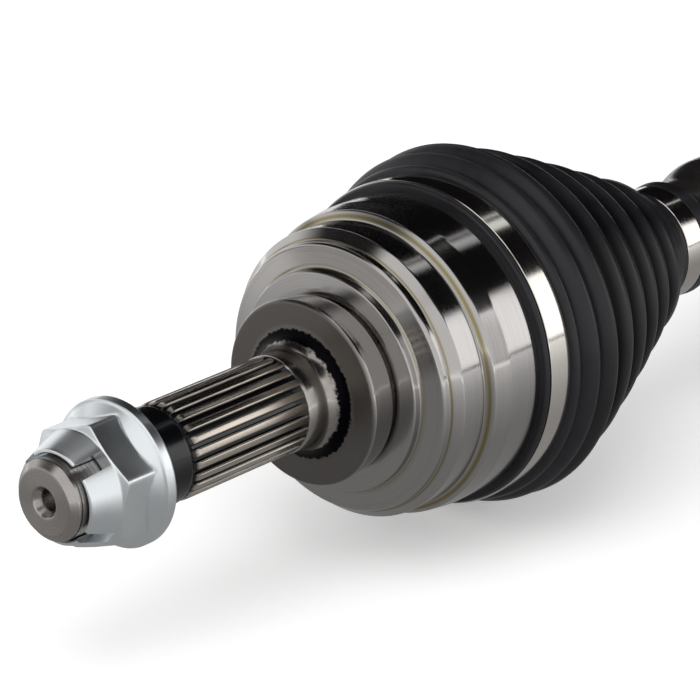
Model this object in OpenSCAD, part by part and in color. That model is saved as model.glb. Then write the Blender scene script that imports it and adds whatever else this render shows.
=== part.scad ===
// Front half shaft with a fixed ball joint at the wheel end and a plunging ball joint at the gearbox end.
// The shaft lies along X with Z up. The origin is the centre of the shoulder that seats on the wheel bearing,
// the threaded stub points along -X and the gearbox stub along +X.

/* [Wheel stub] */
// Diameter of the axle thread
thread_d = 24; // [20:0.5:26]
// Length of the threaded end, from its shoulder to the end face
thread_l = 29.2; // [26:0.2:36]
// Chamfer on the end of the thread
thread_chamfer = 2.5; // [1:0.1:3]
// Diameter of the centre hole at the end face
centre_hole_d = 8.7; // [4:0.1:10]
// Depth of the centre hole's straight part
centre_hole_l = 9; // [5:0.5:16]
// Diameter of the plain land behind the thread
land_d = 28.2; // [26.4:0.1:28.6]
// Length of the plain land
land_l = 13; // [8:0.5:16]
// Diameter over the spline teeth
spline_d = 28.4; // [28:0.1:30]
// Depth of the spline teeth
spline_depth = 1.3; // [0.8:0.1:1.6]
// Number of spline teeth
spline_teeth = 24; // [20:1:36]
// Length of the spline
spline_l = 47; // [36:1:60]
// Length of the tapered run-out of the teeth at the thread end
spline_runout = 3.5; // [1:0.5:6]
// Diameter of the neck between spline and shoulder
neck_d = 29; // [28.6:0.1:31]
// Length from the spline to the shoulder face
neck_l = 11.5; // [8:0.5:16]
// Radius of the fillet at the root of the shoulder
neck_fillet = 6; // [3:0.5:7]

/* [Axle nut] */
// Width across the flats of the hexagon
nut_af = 33; // [30:0.5:34]
// Length of the nut from flange to collar
nut_l = 24.5; // [22:0.5:28]
// Diameter of the nut's flange
nut_flange_d = 42; // [40:0.5:48]
// Thickness of the flange's rim
nut_flange_t = 3.6; // [2:0.1:5]
// Length of the cone from the rim to the flats
nut_cone_l = 3; // [2:0.1:5]
// Length of the slotted collar
nut_collar_l = 8.6; // [6:0.1:9.5]
// Wall of the collar at its front edge
nut_collar_wall = 1.4; // [1:0.1:2.5]
// Diameter of the collar where it meets the hexagon
nut_collar_d = 32.4; // [30:0.1:32.8]
// Length of the chamfer on the front of the hexagon
nut_chamfer_l = 1; // [0.5:0.1:2.5]
// Number of slots in the collar
nut_slots = 4; // [3:1:6]
// Width of a slot
nut_slot_w = 4.8; // [3:0.1:6]
// Length of a slot
nut_slot_l = 8.4; // [5:0.1:9]
// Radial clearance of the nut on the thread
nut_clearance = 0.06; // [0.02:0.01:0.1]
// Gap between the nut and the shoulder of the thread
nut_gap = 0.4; // [0.1:0.1:1]

/* [Outer joint bell] */
// Diameter of the shoulder collar at its face
collar_d = 55; // [50:0.5:57]
// Diameter of the shoulder collar at its rear
collar_rear_d = 53; // [48:0.5:53.5]
// Length of the shoulder collar
collar_l = 10; // [8:0.5:11]
// Width of the groove behind the collar
groove_w = 1.3; // [1:0.1:1.6]
// Depth of that groove
groove_depth = 1.9; // [0.5:0.1:3]
// Distance from the shoulder face to the joint centre
bell_centre = 40; // [39:0.5:46]
// Diameter of the nose ring on the front of the bell
bell_nose_d = 65; // [64:0.5:67]
// Length of the nose ring
bell_nose_l = 2.3; // [1.5:0.1:2.6]
// Diameter at the front edge of the bell
bell_front_d = 79.8; // [76:0.2:82]
// Distance from the shoulder face to that front edge
bell_front_x = 16; // [15:0.5:18]
// Diameter of the front cylinder of the bell
bell_step_d = 86; // [84:0.5:88]
// Distance from the shoulder face to the end of the front cylinder
bell_step_x = 30; // [27:0.5:33]
// Diameter of the rear cylinder of the bell
bell_d = 92.4; // [90:0.2:96]
// Length of the slight cone that leads to the rear cylinder
bell_lead_l = 6.4; // [3:0.2:8]
// Distance from the joint centre to the bell's mouth
bell_mouth = 24; // [23:0.5:28]
// Depth of the seat under the boot
bell_seat_depth = 0.4; // [0.2:0.1:0.8]

/* [Outer joint ball set] */
// Diameter of a ball of the outer joint
outer_ball_d = 18; // [16:0.2:18.6]
// Radius of the ball centres
outer_pitch = 30.5; // [30:0.1:31]
// Number of balls in each joint
balls = 6; // [6:1:6]
// Sideways room of a ball in its track, needed as the joint bends
outer_track_room = 1; // [0.95:0.05:1.2]
// Outer spherical diameter of the cage
outer_cage_d = 67; // [66:0.2:68]
// Inner spherical diameter of the cage
outer_cage_bore = 56; // [55:0.2:57]
// Width of the cage
outer_cage_w = 28; // [25:0.5:29]
// Radial clearance of each spherical face
sphere_clearance = 0.2; // [0.1:0.05:0.3]
// Clearance of a ball in its cage window
window_clearance = 0.06; // [0.03:0.01:0.1]
// Width of the inner race
outer_race_w = 26; // [22:0.5:27]

/* [Mid shaft] */
// Diameter of the splined ends that carry the inner races
shaft_end_d = 26; // [24:0.2:26.4]
// Distance from the joint centre to the end of the shaft
shaft_past_centre = 15.5; // [15:0.5:17]
// Diameter of the seats for the small ends of the boots
boot_seat_d = 29.6; // [27:0.2:31]
// Diameter of the first swaged step
swage_d = 33.6; // [32:0.2:35]
// Diameter of the second swaged step
swage_step_d = 40; // [36:0.5:44]
// Diameter of the tube
tube_d = 56; // [46:0.5:60]
// Wall of the tube
tube_wall = 3; // [2:0.1:4]
// Diameter of the bore through the swaged ends
shaft_bore_d = 10; // [6:0.5:12]
// Length of the cone from the second step to the tube
swage_cone_l = 34; // [26:1:40]
// Length of the full tube
tube_l = 84; // [60:1:160]
// Length of the rounded rise between the two steps
swage_rise_l = 16; // [10:1:20]

/* [Outer boot] */
// Wall of the rubber boots
boot_wall = 2.4; // [2:0.1:2.8]
// Distance from the joint centre to the front edge of the outer boot
boot_lip_back = 9.5; // [6:0.5:12]
// Distance from the joint centre to the largest crest of the outer boot
boot_crest_x = 38; // [35:0.5:42]
// Diameter of the largest crest of the outer boot
boot_crest_d = 108.4; // [104:0.2:114]
// Diameter of the smallest crest of the outer boot
boot_crest_small_d = 54; // [50:0.5:58]
// Length from the largest crest to the smallest crest
boot_pleated_l = 71; // [64:1:78]
// Number of crests on the outer boot
boot_crests = 6; // [5:1:7]
// Share of the first spacing that the last spacing keeps
boot_crowding = 0.5; // [0.4:0.05:1]
// Depth of the valleys between the crests
boot_valley = 4.5; // [3:0.1:6]
// Distance from the joint centre to the small end of the boot's neck
boot_neck_x = 134; // [130:1:142]
// Length of the neck on the shaft
boot_neck_l = 17; // [14:0.5:20]

/* [Boot clamps] */
// Width of the large clamps
big_clamp_w = 12.3; // [8:0.1:13]
// Width of the small clamps
small_clamp_w = 8; // [6:0.5:10]
// Thickness of a clamp band
clamp_t = 0.9; // [0.6:0.1:1.2]
// Width of the rubber lip in front of a large clamp
clamp_lip = 2.2; // [1.5:0.1:3]

/* [Inner joint ball set] */
// Distance between the two joint centres
joint_span = 450; // [440:1:520]
// Diameter of a ball of the inner joint
inner_ball_d = 17; // [15:0.2:17.4]
// Radius of the ball centres
inner_pitch = 28; // [27.6:0.1:28.4]
// Sideways room of a ball in the inner race, needed as the joint bends
inner_track_room = 0.55; // [0.5:0.05:0.7]
// Clearance of a ball in a straight track
straight_clearance = 0.06; // [0.03:0.01:0.1]
// Outer spherical diameter of the cage
inner_cage_d = 62.6; // [61.6:0.2:63.6]
// Inner spherical diameter of the cage
inner_cage_bore = 52; // [51:0.2:53]
// Width of the cage
inner_cage_w = 26; // [24:0.5:27]
// Width of the inner race
inner_race_w = 24; // [21:0.5:26]

/* [Inner joint housing] */
// Outer diameter of the cup
cup_d = 82; // [80:0.5:88]
// Depth of the tracks from the joint centre towards the mouth
cup_mouth = 38; // [37:0.5:44]
// Depth of the tracks from the joint centre towards the floor
cup_deep = 38; // [38:0.5:46]
// Thickness of the cup's floor
cup_floor = 9; // [7:0.5:12]
// Diameter of the shoulder behind the cup
cup_shoulder_d = 60; // [54:0.5:66]
// Length of the shoulder
cup_shoulder_l = 6; // [4:0.5:10]
// Diameter of the oil seal journal
journal_d = 40; // [36:0.5:44]
// Length of the journal
journal_l = 24; // [18:0.5:30]
// Length of the gearbox spline
side_spline_l = 30; // [24:0.5:36]
// Depth of the seat under the inner boot
cup_seat_depth = 0.6; // [0.3:0.1:1]
// Distance from the joint centre to the small end of the inner boot's neck
inner_neck_x = 109; // [104:1:114]
// Number of crests on the inner boot
inner_crests = 5; // [4:1:6]
// Diameter of the largest crest of the inner boot
inner_crest_d = 92; // [90:0.5:96]
// Diameter of the smallest crest of the inner boot
inner_crest_small_d = 56; // [52:0.5:62]

/* [Rings] */
// Thickness of the snap rings
ring_t = 1.8; // [1.2:0.1:2]
// Height of a snap ring above the shaft that carries it
ring_rise = 1.5; // [1:0.1:1.8]
// Depth of a snap ring's groove
ring_groove = 1.1; // [0.8:0.1:1.3]
// Gap between the ends of a snap ring, in degrees
ring_gap = 40; // [20:5:60]
// Clearance of a snap ring in its groove
ring_clearance = 0.1; // [0.05:0.01:0.2]

/* [Hidden] */

steel = [0.62, 0.61, 0.59];
dark_steel = [0.33, 0.33, 0.34];
zinc = [0.72, 0.75, 0.77];
rubber = [0.13, 0.13, 0.14];
band_steel = [0.85, 0.85, 0.83];
round_fn = 90;
seat_clearance = 0.02;

// Places along the wheel stub.
spline_end_x = -neck_l;
spline_start_x = spline_end_x - spline_l;
thread_root_x = spline_start_x - land_l;
stub_end_x = thread_root_x - thread_l;
nut_rear_x = thread_root_x - nut_gap;
nut_front_x = nut_rear_x - nut_l;
hex_front_x = nut_front_x + nut_collar_l;
flange_front_x = nut_rear_x - nut_flange_t;
hex_r = nut_af / 2 / cos(30);
thread_r = thread_d / 2;
collar_r0 = thread_r + nut_clearance + nut_collar_wall;

// How far the tightened nut is turned, and the slots against its flats, in degrees.
hex_angle = 41.1;
slot_angle = 42.5;

// Places of the two joints.
inner_centre = bell_centre + joint_span;
shaft_start = bell_centre - shaft_past_centre;
shaft_end = inner_centre + shaft_past_centre;
outer_track_r = outer_ball_d / 2 + outer_track_room;
inner_track_r = inner_ball_d / 2 + inner_track_room;
straight_track_r = inner_ball_d / 2 + straight_clearance;
outer_sphere_r = outer_cage_d / 2 + sphere_clearance;
outer_race_sphere_r = outer_cage_bore / 2 - sphere_clearance;
inner_race_sphere_r = inner_cage_bore / 2 - sphere_clearance;
cup_bore_r = inner_cage_d / 2 + sphere_clearance;
bell_mouth_x = bell_centre + bell_mouth;
bell_nose_x = collar_l + groove_w;
groove_r = collar_rear_d / 2 - groove_depth;
shaft_r = shaft_end_d / 2;

// Angle of a curved track each way from the ball, the joint's bend, and where the mouth starts to flare for it.
track_reach = 40;
bend_limit = 42;
mouth_flare_x = 12;

// Places along the mid shaft, measured from the wheel end.
neck_end_x = bell_centre + boot_neck_x;
neck_start_x = neck_end_x - boot_neck_l;
seat_shoulder = 4;
rise_start_x = neck_end_x + seat_shoulder + 4;
cone_start_x = rise_start_x + swage_rise_l + 6;
tube_start_x = cone_start_x + swage_cone_l;
tube_end_x = tube_start_x + tube_l;
inner_neck_end_x = inner_centre - inner_neck_x;
inner_neck_start_x = inner_neck_end_x + boot_neck_l;
inner_cone_end_x = tube_end_x + swage_cone_l;

// Places along the inner housing.
cup_mouth_x = inner_centre - cup_mouth;
cup_floor_x = inner_centre + cup_deep;
cup_end_x = cup_floor_x + cup_floor;
journal_start_x = cup_end_x + cup_shoulder_l;
journal_end_x = journal_start_x + journal_l;
housing_end_x = journal_end_x + side_spline_l;
side_spline_r = spline_d / 2;
gearbox_ring_x = housing_end_x - 4;

// Boots: seat radius, lip and sleeve over the bell or the cup.
bell_seat_r = bell_d / 2 - bell_seat_depth;
cup_seat_r = cup_d / 2 - cup_seat_depth;
boot_lip_x = bell_centre + boot_lip_back;
bell_band_x = boot_lip_x + clamp_lip;
inner_lip_x = cup_mouth_x + big_clamp_w + 2 * clamp_lip;
inner_band_x = inner_lip_x - clamp_lip - big_clamp_w;
seat_r = boot_seat_d / 2;
neck_r = seat_r + boot_wall;

// A solid of revolution about the X axis from points [x, radius].
module turned(points) {
    rotate([0, 90, 0])
        rotate_extrude($fn = round_fn)
            polygon([for (p = points) [p[1], p[0]]]);
}

// A ring of rectangular section from x0 to x1 between two radii.
module band(x0, x1, r0, r1) {
    turned([[x0, r0], [x1, r0], [x1, r1], [x0, r1]]);
}

// An open snap ring of the given inner and outer radius, starting at x.
module snap_ring(x, r0, r1, turn = 90) {
    translate([x, 0, 0])
        rotate([turn, 0, 0])
            rotate([0, 90, 0])
                rotate_extrude(angle = 360 - ring_gap, $fn = round_fn)
                    translate([r0, 0])
                        square([r1 - r0, ring_t]);
}

// Puts one copy in the plane of each ball.
module at_balls() {
    for (k = [0 : balls - 1])
        rotate([k * 360 / balls, 0, 0])
            children();
}

// A curved ball track about the joint centre, reaching the same angle both ways from the ball.
module curved_track(pitch, r, reach) {
    rotate([0, 0, 90 - reach])
        rotate_extrude(angle = 2 * reach, $fn = round_fn)
            translate([pitch, 0])
                circle(r = r, $fn = 48);
}

// A flat outline of [radius, x] turned about the X axis.
module revolved() {
    rotate([0, 90, 0])
        rotate_extrude($fn = round_fn)
            children();
}

// Half of a disc about the joint centre, cut off at both sides at half a width.
module disc_zone(r, w) {
    intersection() {
        circle(r = r, $fn = round_fn);
        translate([0, -w / 2])
            square([r + 1, w]);
    }
}

// The spline teeth as a flat outline with the given outer radius.
module spline_outline(r) {
    step = 360 / spline_teeth;
    root = r - spline_depth;
    polygon([for (k = [0 : spline_teeth - 1], p = [[0, root], [0.2, root], [0.36, r], [0.64, r], [0.8, root]])
        [p[1] * cos((k + p[0]) * step), p[1] * sin((k + p[0]) * step)]]);
}

// A splined length along X, with its teeth run out in a cone at the low end or at the high end.
module splined(x0, x1, r, runout_low, runout_high) {
    root = r - spline_depth;
    intersection() {
        translate([x0, 0, 0])
            rotate([0, 90, 0])
                linear_extrude(x1 - x0)
                    spline_outline(r);
        turned([[x0, 0], [x0, root - (runout_low > 0 ? 0 : -spline_depth - 1)],
            [x0 + runout_low, r + 0.01], [x1 - runout_high, r + 0.01],
            [x1, root - (runout_high > 0 ? 0 : -spline_depth - 1)], [x1, 0]]);
    }
}

module axle_nut() {
    color(zinc)
        difference() {
            union() {
                intersection() {
                    translate([hex_front_x, 0, 0])
                        rotate([0, 90, 0])
                            rotate([0, 0, hex_angle + 90])
                                cylinder(r = hex_r, h = nut_rear_x - hex_front_x - nut_flange_t / 2, $fn = 6);
                    turned([[hex_front_x, 0], [hex_front_x, nut_af / 2 - 0.4],
                        [hex_front_x + nut_chamfer_l, hex_r + 0.01],
                        [nut_rear_x, hex_r + 0.01], [nut_rear_x, 0]]);
                }
                turned([[nut_front_x, 0], [nut_front_x, collar_r0 - 0.5], [nut_front_x + 0.5, collar_r0],
                    [hex_front_x + 0.01, nut_collar_d / 2], [hex_front_x + 0.01, 0]]);
                turned([[flange_front_x - nut_cone_l, 0], [flange_front_x - nut_cone_l, nut_af / 2 - 0.5],
                    [flange_front_x, nut_flange_d / 2 - 0.8], [flange_front_x + 0.8, nut_flange_d / 2],
                    [nut_rear_x - 0.6, nut_flange_d / 2], [nut_rear_x, nut_flange_d / 2 - 0.6], [nut_rear_x, 0]]);
            }
            turned([[nut_front_x - 1, 0], [nut_front_x - 1, thread_r + nut_clearance],
                [nut_rear_x + 1, thread_r + nut_clearance], [nut_rear_x + 1, 0]]);
            for (k = [0 : nut_slots - 1])
                rotate([slot_angle + k * 360 / nut_slots, 0, 0])
                    translate([nut_front_x - 1, -nut_slot_w / 2, thread_r / 2])
                        cube([nut_slot_l + 1, nut_slot_w, nut_af / 2]);
        }
}

// The outer profile of the bell, its collar and the neck of the stub.
function bell_outline() = concat(
    [[spline_end_x, neck_d / 2], [-neck_fillet, neck_d / 2]],
    [for (a = [15 : 15 : 90]) [-neck_fillet + neck_fillet * sin(a), neck_d / 2 + neck_fillet * (1 - cos(a))]],
    [[0, collar_d / 2 - 0.8], [0.8, collar_d / 2], [collar_l - 1, collar_rear_d / 2],
        [collar_l - 0.3, collar_rear_d / 2 - 0.6], [collar_l, groove_r], [bell_nose_x - 0.5, groove_r],
        [bell_nose_x - 0.5, collar_rear_d / 2 + 1.3], [bell_nose_x, bell_nose_d / 2],
        [bell_nose_x + bell_nose_l, bell_nose_d / 2 + 0.3], [bell_nose_x + bell_nose_l + 0.5, bell_nose_d / 2 + 1.1],
        [bell_front_x - 0.6, bell_front_d / 2 - 0.6], [bell_front_x, bell_front_d / 2],
        [bell_front_x + 1.8, bell_front_d / 2 + 0.1], [bell_front_x + 2, bell_front_d / 2 + 0.5],
        [bell_front_x + 4.6, bell_step_d / 2], [bell_step_x - 0.9, bell_step_d / 2],
        [bell_step_x - 0.8, bell_step_d / 2 - 0.4], [bell_step_x - 0.1, bell_step_d / 2 - 0.4],
        [bell_step_x, bell_step_d / 2], [bell_step_x + 1.4, bell_d / 2 - 0.8],
        [bell_step_x + 1.4 + bell_lead_l, bell_d / 2],
        [boot_lip_x - 1, bell_d / 2], [boot_lip_x - 1, bell_seat_r], [bell_mouth_x - 1, bell_seat_r],
        [bell_mouth_x, bell_seat_r - 1]]);

// Room that a bent shaft needs at a distance from the joint centre.
function bent_room(x) = (x + shaft_r * sin(bend_limit)) * tan(bend_limit) + shaft_r * cos(bend_limit) + 1;

module outer_race() {
    color(steel)
        difference() {
            union() {
                turned(concat([[spline_end_x - 0.01, 0]], bell_outline(), [[bell_mouth_x, 0]]));
                splined(spline_start_x, spline_end_x, spline_d / 2, spline_runout, 0);
                turned([[stub_end_x, 0], [stub_end_x, thread_r - thread_chamfer],
                    [stub_end_x + thread_chamfer, thread_r], [thread_root_x, thread_r],
                    [thread_root_x, land_d / 2 - 0.6], [thread_root_x + 0.6, land_d / 2],
                    [spline_start_x, land_d / 2], [spline_start_x, spline_d / 2 - spline_depth],
                    [spline_end_x, spline_d / 2 - spline_depth], [spline_end_x, 0]]);
            }
            turned([[stub_end_x - 1, 0], [stub_end_x - 1, centre_hole_d / 2], [stub_end_x + 0.01, centre_hole_d / 2],
                [stub_end_x + centre_hole_d / 4, centre_hole_d * 0.36],
                [stub_end_x + centre_hole_l, centre_hole_d * 0.36], [stub_end_x + centre_hole_l * 1.3, 0]]);
            translate([bell_centre, 0, 0]) {
                revolved()
                    union() {
                        disc_zone(outer_sphere_r, 2 * outer_sphere_r);
                        polygon([[0, mouth_flare_x], [bent_room(mouth_flare_x), mouth_flare_x],
                            [bent_room(bell_mouth + 1), bell_mouth + 1], [0, bell_mouth + 1]]);
                    }
                at_balls() curved_track(outer_pitch, outer_track_r, track_reach);
            }
        }
}

// A ball cage: a spherical shell cut flat on both sides, with one window for each ball.
module cage(d, bore, w, ball_d, long) {
    window_r = ball_d / 2 + window_clearance;
    difference() {
        revolved()
            difference() {
                disc_zone(d / 2, w);
                circle(d = bore, $fn = round_fn);
            }
        at_balls()
            translate([0, bore / 4, 0])
                rotate([-90, 0, 0])
                    linear_extrude(d / 2) {
                        square([2 * window_r, 2 * long], center = true);
                        for (s = [-1, 1])
                            translate([0, s * long])
                                circle(r = window_r, $fn = 48);
                    }
    }
}

// An inner race with full curved grooves and the seat for the shaft.
module inner_race(sphere_r, w, pitch, r) {
    difference() {
        revolved()
            difference() {
                disc_zone(sphere_r, w);
                translate([-1, -w])
                    square([1 + shaft_r + seat_clearance, 2 * w]);
            }
        at_balls() curved_track(pitch, r, track_reach);
    }
}

module ball_ring(pitch, d) {
    at_balls()
        translate([0, pitch, 0])
            sphere(d = d, $fn = 48);
}

module outer_cage() {
    color(dark_steel)
        translate([bell_centre, 0, 0])
            cage(outer_cage_d, outer_cage_bore, outer_cage_w, outer_ball_d, 1);
}

module outer_balls() {
    color("silver")
        translate([bell_centre, 0, 0])
            ball_ring(outer_pitch, outer_ball_d);
}

module outer_inner_race() {
    color(steel)
        translate([bell_centre, 0, 0])
            inner_race(outer_race_sphere_r, outer_race_w, outer_pitch, outer_track_r);
}

// Snap rings beside the inner races, in grooves of the mid shaft.
outer_end_ring_x = bell_centre - outer_race_w / 2 - ring_t;
outer_stop_ring_x = bell_centre + outer_race_w / 2;
inner_stop_ring_x = inner_centre - inner_race_w / 2 - ring_t;
inner_end_ring_x = inner_centre + inner_race_w / 2;
shaft_ring_xs = [outer_end_ring_x, outer_stop_ring_x, inner_stop_ring_x, inner_end_ring_x];

module shaft_ring(x) {
    color(dark_steel)
        snap_ring(x, shaft_r - ring_groove + ring_clearance, shaft_r + ring_rise);
}

module outer_end_ring() {
    shaft_ring(outer_end_ring_x);
}

module outer_stop_ring() {
    shaft_ring(outer_stop_ring_x);
}

module inner_stop_ring() {
    shaft_ring(inner_stop_ring_x);
}

module inner_end_ring() {
    shaft_ring(inner_end_ring_x);
}

// Half of a smooth rise between two radii, as points [x, radius].
function rise(x0, r0, x1, r1, steps = 6) =
    [for (k = [0 : steps]) [x0 + (x1 - x0) * k / steps, r0 + (r1 - r0) * (1 - cos(180 * k / steps)) / 2]];

module tube_shaft() {
    color(dark_steel)
        difference() {
            turned(concat(
                [[shaft_start, 0], [shaft_start, shaft_r - 1], [shaft_start + 1, shaft_r],
                    [neck_start_x - seat_shoulder, shaft_r], [neck_start_x - 1, seat_r], [neck_end_x + 1, seat_r]],
                rise(neck_end_x + 1, seat_r, neck_end_x + seat_shoulder, swage_d / 2, 3),
                rise(rise_start_x, swage_d / 2, rise_start_x + swage_rise_l, swage_step_d / 2),
                rise(cone_start_x, swage_step_d / 2, tube_start_x, tube_d / 2, 8),
                rise(tube_end_x, tube_d / 2, inner_cone_end_x, swage_d / 2, 8),
                [[inner_neck_end_x - seat_shoulder, swage_d / 2], [inner_neck_end_x - 1, seat_r],
                    [inner_neck_start_x + 1, seat_r], [inner_neck_start_x + seat_shoulder, shaft_r],
                    [shaft_end - 1, shaft_r], [shaft_end, shaft_r - 1], [shaft_end, 0]]));
            turned([[shaft_start - 1, 0], [shaft_start - 1, shaft_bore_d / 2],
                [cone_start_x, shaft_bore_d / 2], [tube_start_x, tube_d / 2 - tube_wall],
                [tube_end_x, tube_d / 2 - tube_wall], [inner_cone_end_x, shaft_bore_d / 2],
                [shaft_end + 1, shaft_bore_d / 2], [shaft_end + 1, 0]]);
            for (x = shaft_ring_xs)
                band(x - ring_clearance / 2, x + ring_t + ring_clearance / 2, shaft_r - ring_groove, shaft_r + 1);
        }
}

// Crest k of a pleated boot, with the spacing shrinking evenly to a share of the first.
function crest_share(k, n, crowd) = let (m = n - 1) (k - (1 - crowd) * k * (k - 1) / 2 / max(m - 1, 1))
    / (m - (1 - crowd) * m * (m - 1) / 2 / max(m - 1, 1));

// Crests and valleys in turn, as points [distance, radius].
function pleats(n, r0, r1, l, depth, crowd) = [for (k = [0 : 2 * n - 2])
    let (t0 = crest_share(floor(k / 2), n, crowd), t1 = crest_share(ceil(k / 2), n, crowd), t = (t0 + t1) / 2)
    [l * t, r0 + (r1 - r0) * t - (k % 2) * depth]];

// A smooth wave through the crests and valleys.
function wave(points, steps = 4) = concat(
    [for (i = [0 : len(points) - 2], k = [0 : steps - 1])
        let (a = points[i], b = points[i + 1], t = k / steps)
        [a[0] + (b[0] - a[0]) * t, a[1] + (b[1] - a[1]) * (1 - cos(180 * t)) / 2]],
    [points[len(points) - 1]]);

outer_pleats = wave(pleats(boot_crests, boot_crest_d / 2, boot_crest_small_d / 2, boot_pleated_l,
    boot_valley, boot_crowding));
crest_x = bell_centre + boot_crest_x;
band_r = bell_seat_r + boot_wall;
outer_boot_line = concat(
    [[boot_lip_x, band_r - 0.6], [boot_lip_x + 0.6, band_r + clamp_t], [bell_band_x - 0.3, band_r + clamp_t],
        [bell_band_x, band_r], [bell_band_x + big_clamp_w + 0.2, band_r],
        [bell_band_x + big_clamp_w + 0.5, band_r + 2], [bell_band_x + big_clamp_w + 3, band_r + 3.4]],
    [for (p = outer_pleats) [crest_x + p[0], p[1]]],
    [[neck_start_x - 4, neck_r + 3], [neck_start_x + 0.5, neck_r + clamp_t],
        [neck_start_x + 3, neck_r + clamp_t], [neck_start_x + 3.3, neck_r],
        [neck_start_x + 3.3 + small_clamp_w + 0.4, neck_r], [neck_start_x + 3.6 + small_clamp_w + 0.4, neck_r + clamp_t],
        [neck_end_x - 0.8, neck_r + clamp_t + 0.6], [neck_end_x, neck_r]]);

// The inside of a boot: its outside less the wall, but never inside the neck's seat.
function lining(line, from, to, floor_r) = [for (k = [len(line) - 1 : -1 : 0])
    if (line[k][0] > from && line[k][0] < to) [line[k][0], max(line[k][1] - boot_wall, floor_r)]];

module outer_boot() {
    bell_end = bell_mouth_x + 0.3;
    color(rubber)
        turned(concat(outer_boot_line,
            [[neck_end_x, seat_r + seat_clearance], [neck_start_x, seat_r + seat_clearance]],
            lining(outer_boot_line, bell_end + 2, neck_start_x - 1, seat_r + seat_clearance),
            [[bell_end, bell_seat_r + seat_clearance], [boot_lip_x, bell_seat_r + seat_clearance]]));
}

// A clamp band with the raised ear that tightens it.
module clamp(x, r, w, turn) {
    ear_w = w * 0.7;
    ear_h = 3;
    ear_l = 7;
    color(band_steel) {
        band(x, x + w, r + seat_clearance, r + clamp_t);
        rotate([turn, 0, 0])
            translate([x + (w - ear_w) / 2, -ear_l / 2, r + clamp_t - 0.4])
                difference() {
                    cube([ear_w, ear_l, ear_h + 0.4]);
                    translate([-1, clamp_t, 0.4])
                        cube([ear_w + 2, ear_l - 2 * clamp_t, ear_h - clamp_t]);
                }
    }
}

module outer_boot_large_clamp() {
    clamp(bell_band_x + 0.1, band_r, big_clamp_w, 215);
}

module outer_boot_small_clamp() {
    clamp(neck_start_x + 3.5, neck_r, small_clamp_w, 215);
}

module inner_inner_race() {
    color(steel)
        translate([inner_centre, 0, 0])
            inner_race(inner_race_sphere_r, inner_race_w, inner_pitch, inner_track_r);
}

module inner_balls() {
    color("silver")
        translate([inner_centre, 0, 0])
            ball_ring(inner_pitch, inner_ball_d);
}

module inner_cage() {
    color(dark_steel)
        translate([inner_centre, 0, 0])
            cage(inner_cage_d, inner_cage_bore, inner_cage_w, inner_ball_d, 0.8);
}

mouth_ring_x = cup_mouth_x + 3;
mouth_groove_r = cup_bore_r + 1.2;

module inner_housing() {
    color(steel)
        difference() {
            union() {
                turned([[cup_mouth_x, 0], [cup_mouth_x, cup_seat_r - 1], [cup_mouth_x + 1, cup_seat_r],
                    [inner_lip_x + 1, cup_seat_r], [inner_lip_x + 1, cup_d / 2],
                    [cup_end_x - 5, cup_d / 2], [cup_end_x - 2, cup_d / 2 - 2], [cup_end_x, cup_shoulder_d / 2 + 3],
                    [cup_end_x + 1, cup_shoulder_d / 2], [journal_start_x - 1, cup_shoulder_d / 2],
                    [journal_start_x, cup_shoulder_d / 2 - 1], [journal_start_x, journal_d / 2],
                    [journal_end_x - 1.5, journal_d / 2], [journal_end_x, journal_d / 2 - 1.5], [journal_end_x, 0]]);
                splined(journal_end_x - 0.5, housing_end_x, side_spline_r, 0, 2);
                turned([[journal_end_x - 0.5, 0], [journal_end_x - 0.5, side_spline_r - spline_depth],
                    [housing_end_x, side_spline_r - spline_depth], [housing_end_x, 0]]);
            }
            turned([[cup_mouth_x - 1, 0], [cup_mouth_x - 1, cup_bore_r + 2], [cup_mouth_x + 1, cup_bore_r],
                [cup_floor_x, cup_bore_r], [cup_floor_x, 0]]);
            at_balls()
                translate([cup_mouth_x - 1, inner_pitch, 0])
                    rotate([0, 90, 0])
                        cylinder(r = straight_track_r, h = cup_floor_x - cup_mouth_x - 2, $fn = 48);
            band(mouth_ring_x - ring_clearance, mouth_ring_x + ring_t + ring_clearance, cup_bore_r - 2, mouth_groove_r);
            band(gearbox_ring_x - ring_clearance, gearbox_ring_x + ring_t + ring_clearance,
                side_spline_r - spline_depth - ring_groove, side_spline_r + 1);
            turned([[housing_end_x - 6, 0], [housing_end_x - 6, 2.5], [housing_end_x + 1, 5.5], [housing_end_x + 1, 0]]);
        }
}

module inner_mouth_ring() {
    color(dark_steel)
        snap_ring(mouth_ring_x, cup_bore_r - ring_rise, mouth_groove_r - ring_clearance);
}

module gearbox_snap_ring() {
    color(dark_steel)
        snap_ring(gearbox_ring_x, side_spline_r - spline_depth - ring_groove + ring_clearance, side_spline_r - 0.3);
}

// The inner boot runs the other way, from the cup back to the shaft.
inner_band_r = cup_seat_r + boot_wall;
inner_neck_clamp_x = inner_neck_start_x - 3.5 - small_clamp_w;
inner_first_x = cup_mouth_x - 7;
inner_pleated_l = inner_first_x - inner_neck_start_x - 9;
inner_line = concat(
    [[inner_lip_x, inner_band_r - 0.6], [inner_lip_x - 0.6, inner_band_r + clamp_t],
        [inner_lip_x - clamp_lip + 0.3, inner_band_r + clamp_t], [inner_lip_x - clamp_lip, inner_band_r],
        [inner_band_x - 0.2, inner_band_r], [inner_band_x - 0.5, inner_band_r + 1.2],
        [inner_first_x + 3, inner_band_r + 1.6]],
    [for (p = wave(pleats(inner_crests, inner_crest_d / 2, inner_crest_small_d / 2, inner_pleated_l,
        boot_valley, 0.8))) [inner_first_x - p[0], p[1]]],
    [[inner_neck_start_x + 3, neck_r + 3], [inner_neck_start_x - 0.5, neck_r + clamp_t],
        [inner_neck_start_x - 3, neck_r + clamp_t], [inner_neck_start_x - 3.3, neck_r],
        [inner_neck_clamp_x - 0.2, neck_r], [inner_neck_clamp_x - 0.5, neck_r + clamp_t],
        [inner_neck_end_x, neck_r]]);

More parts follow.
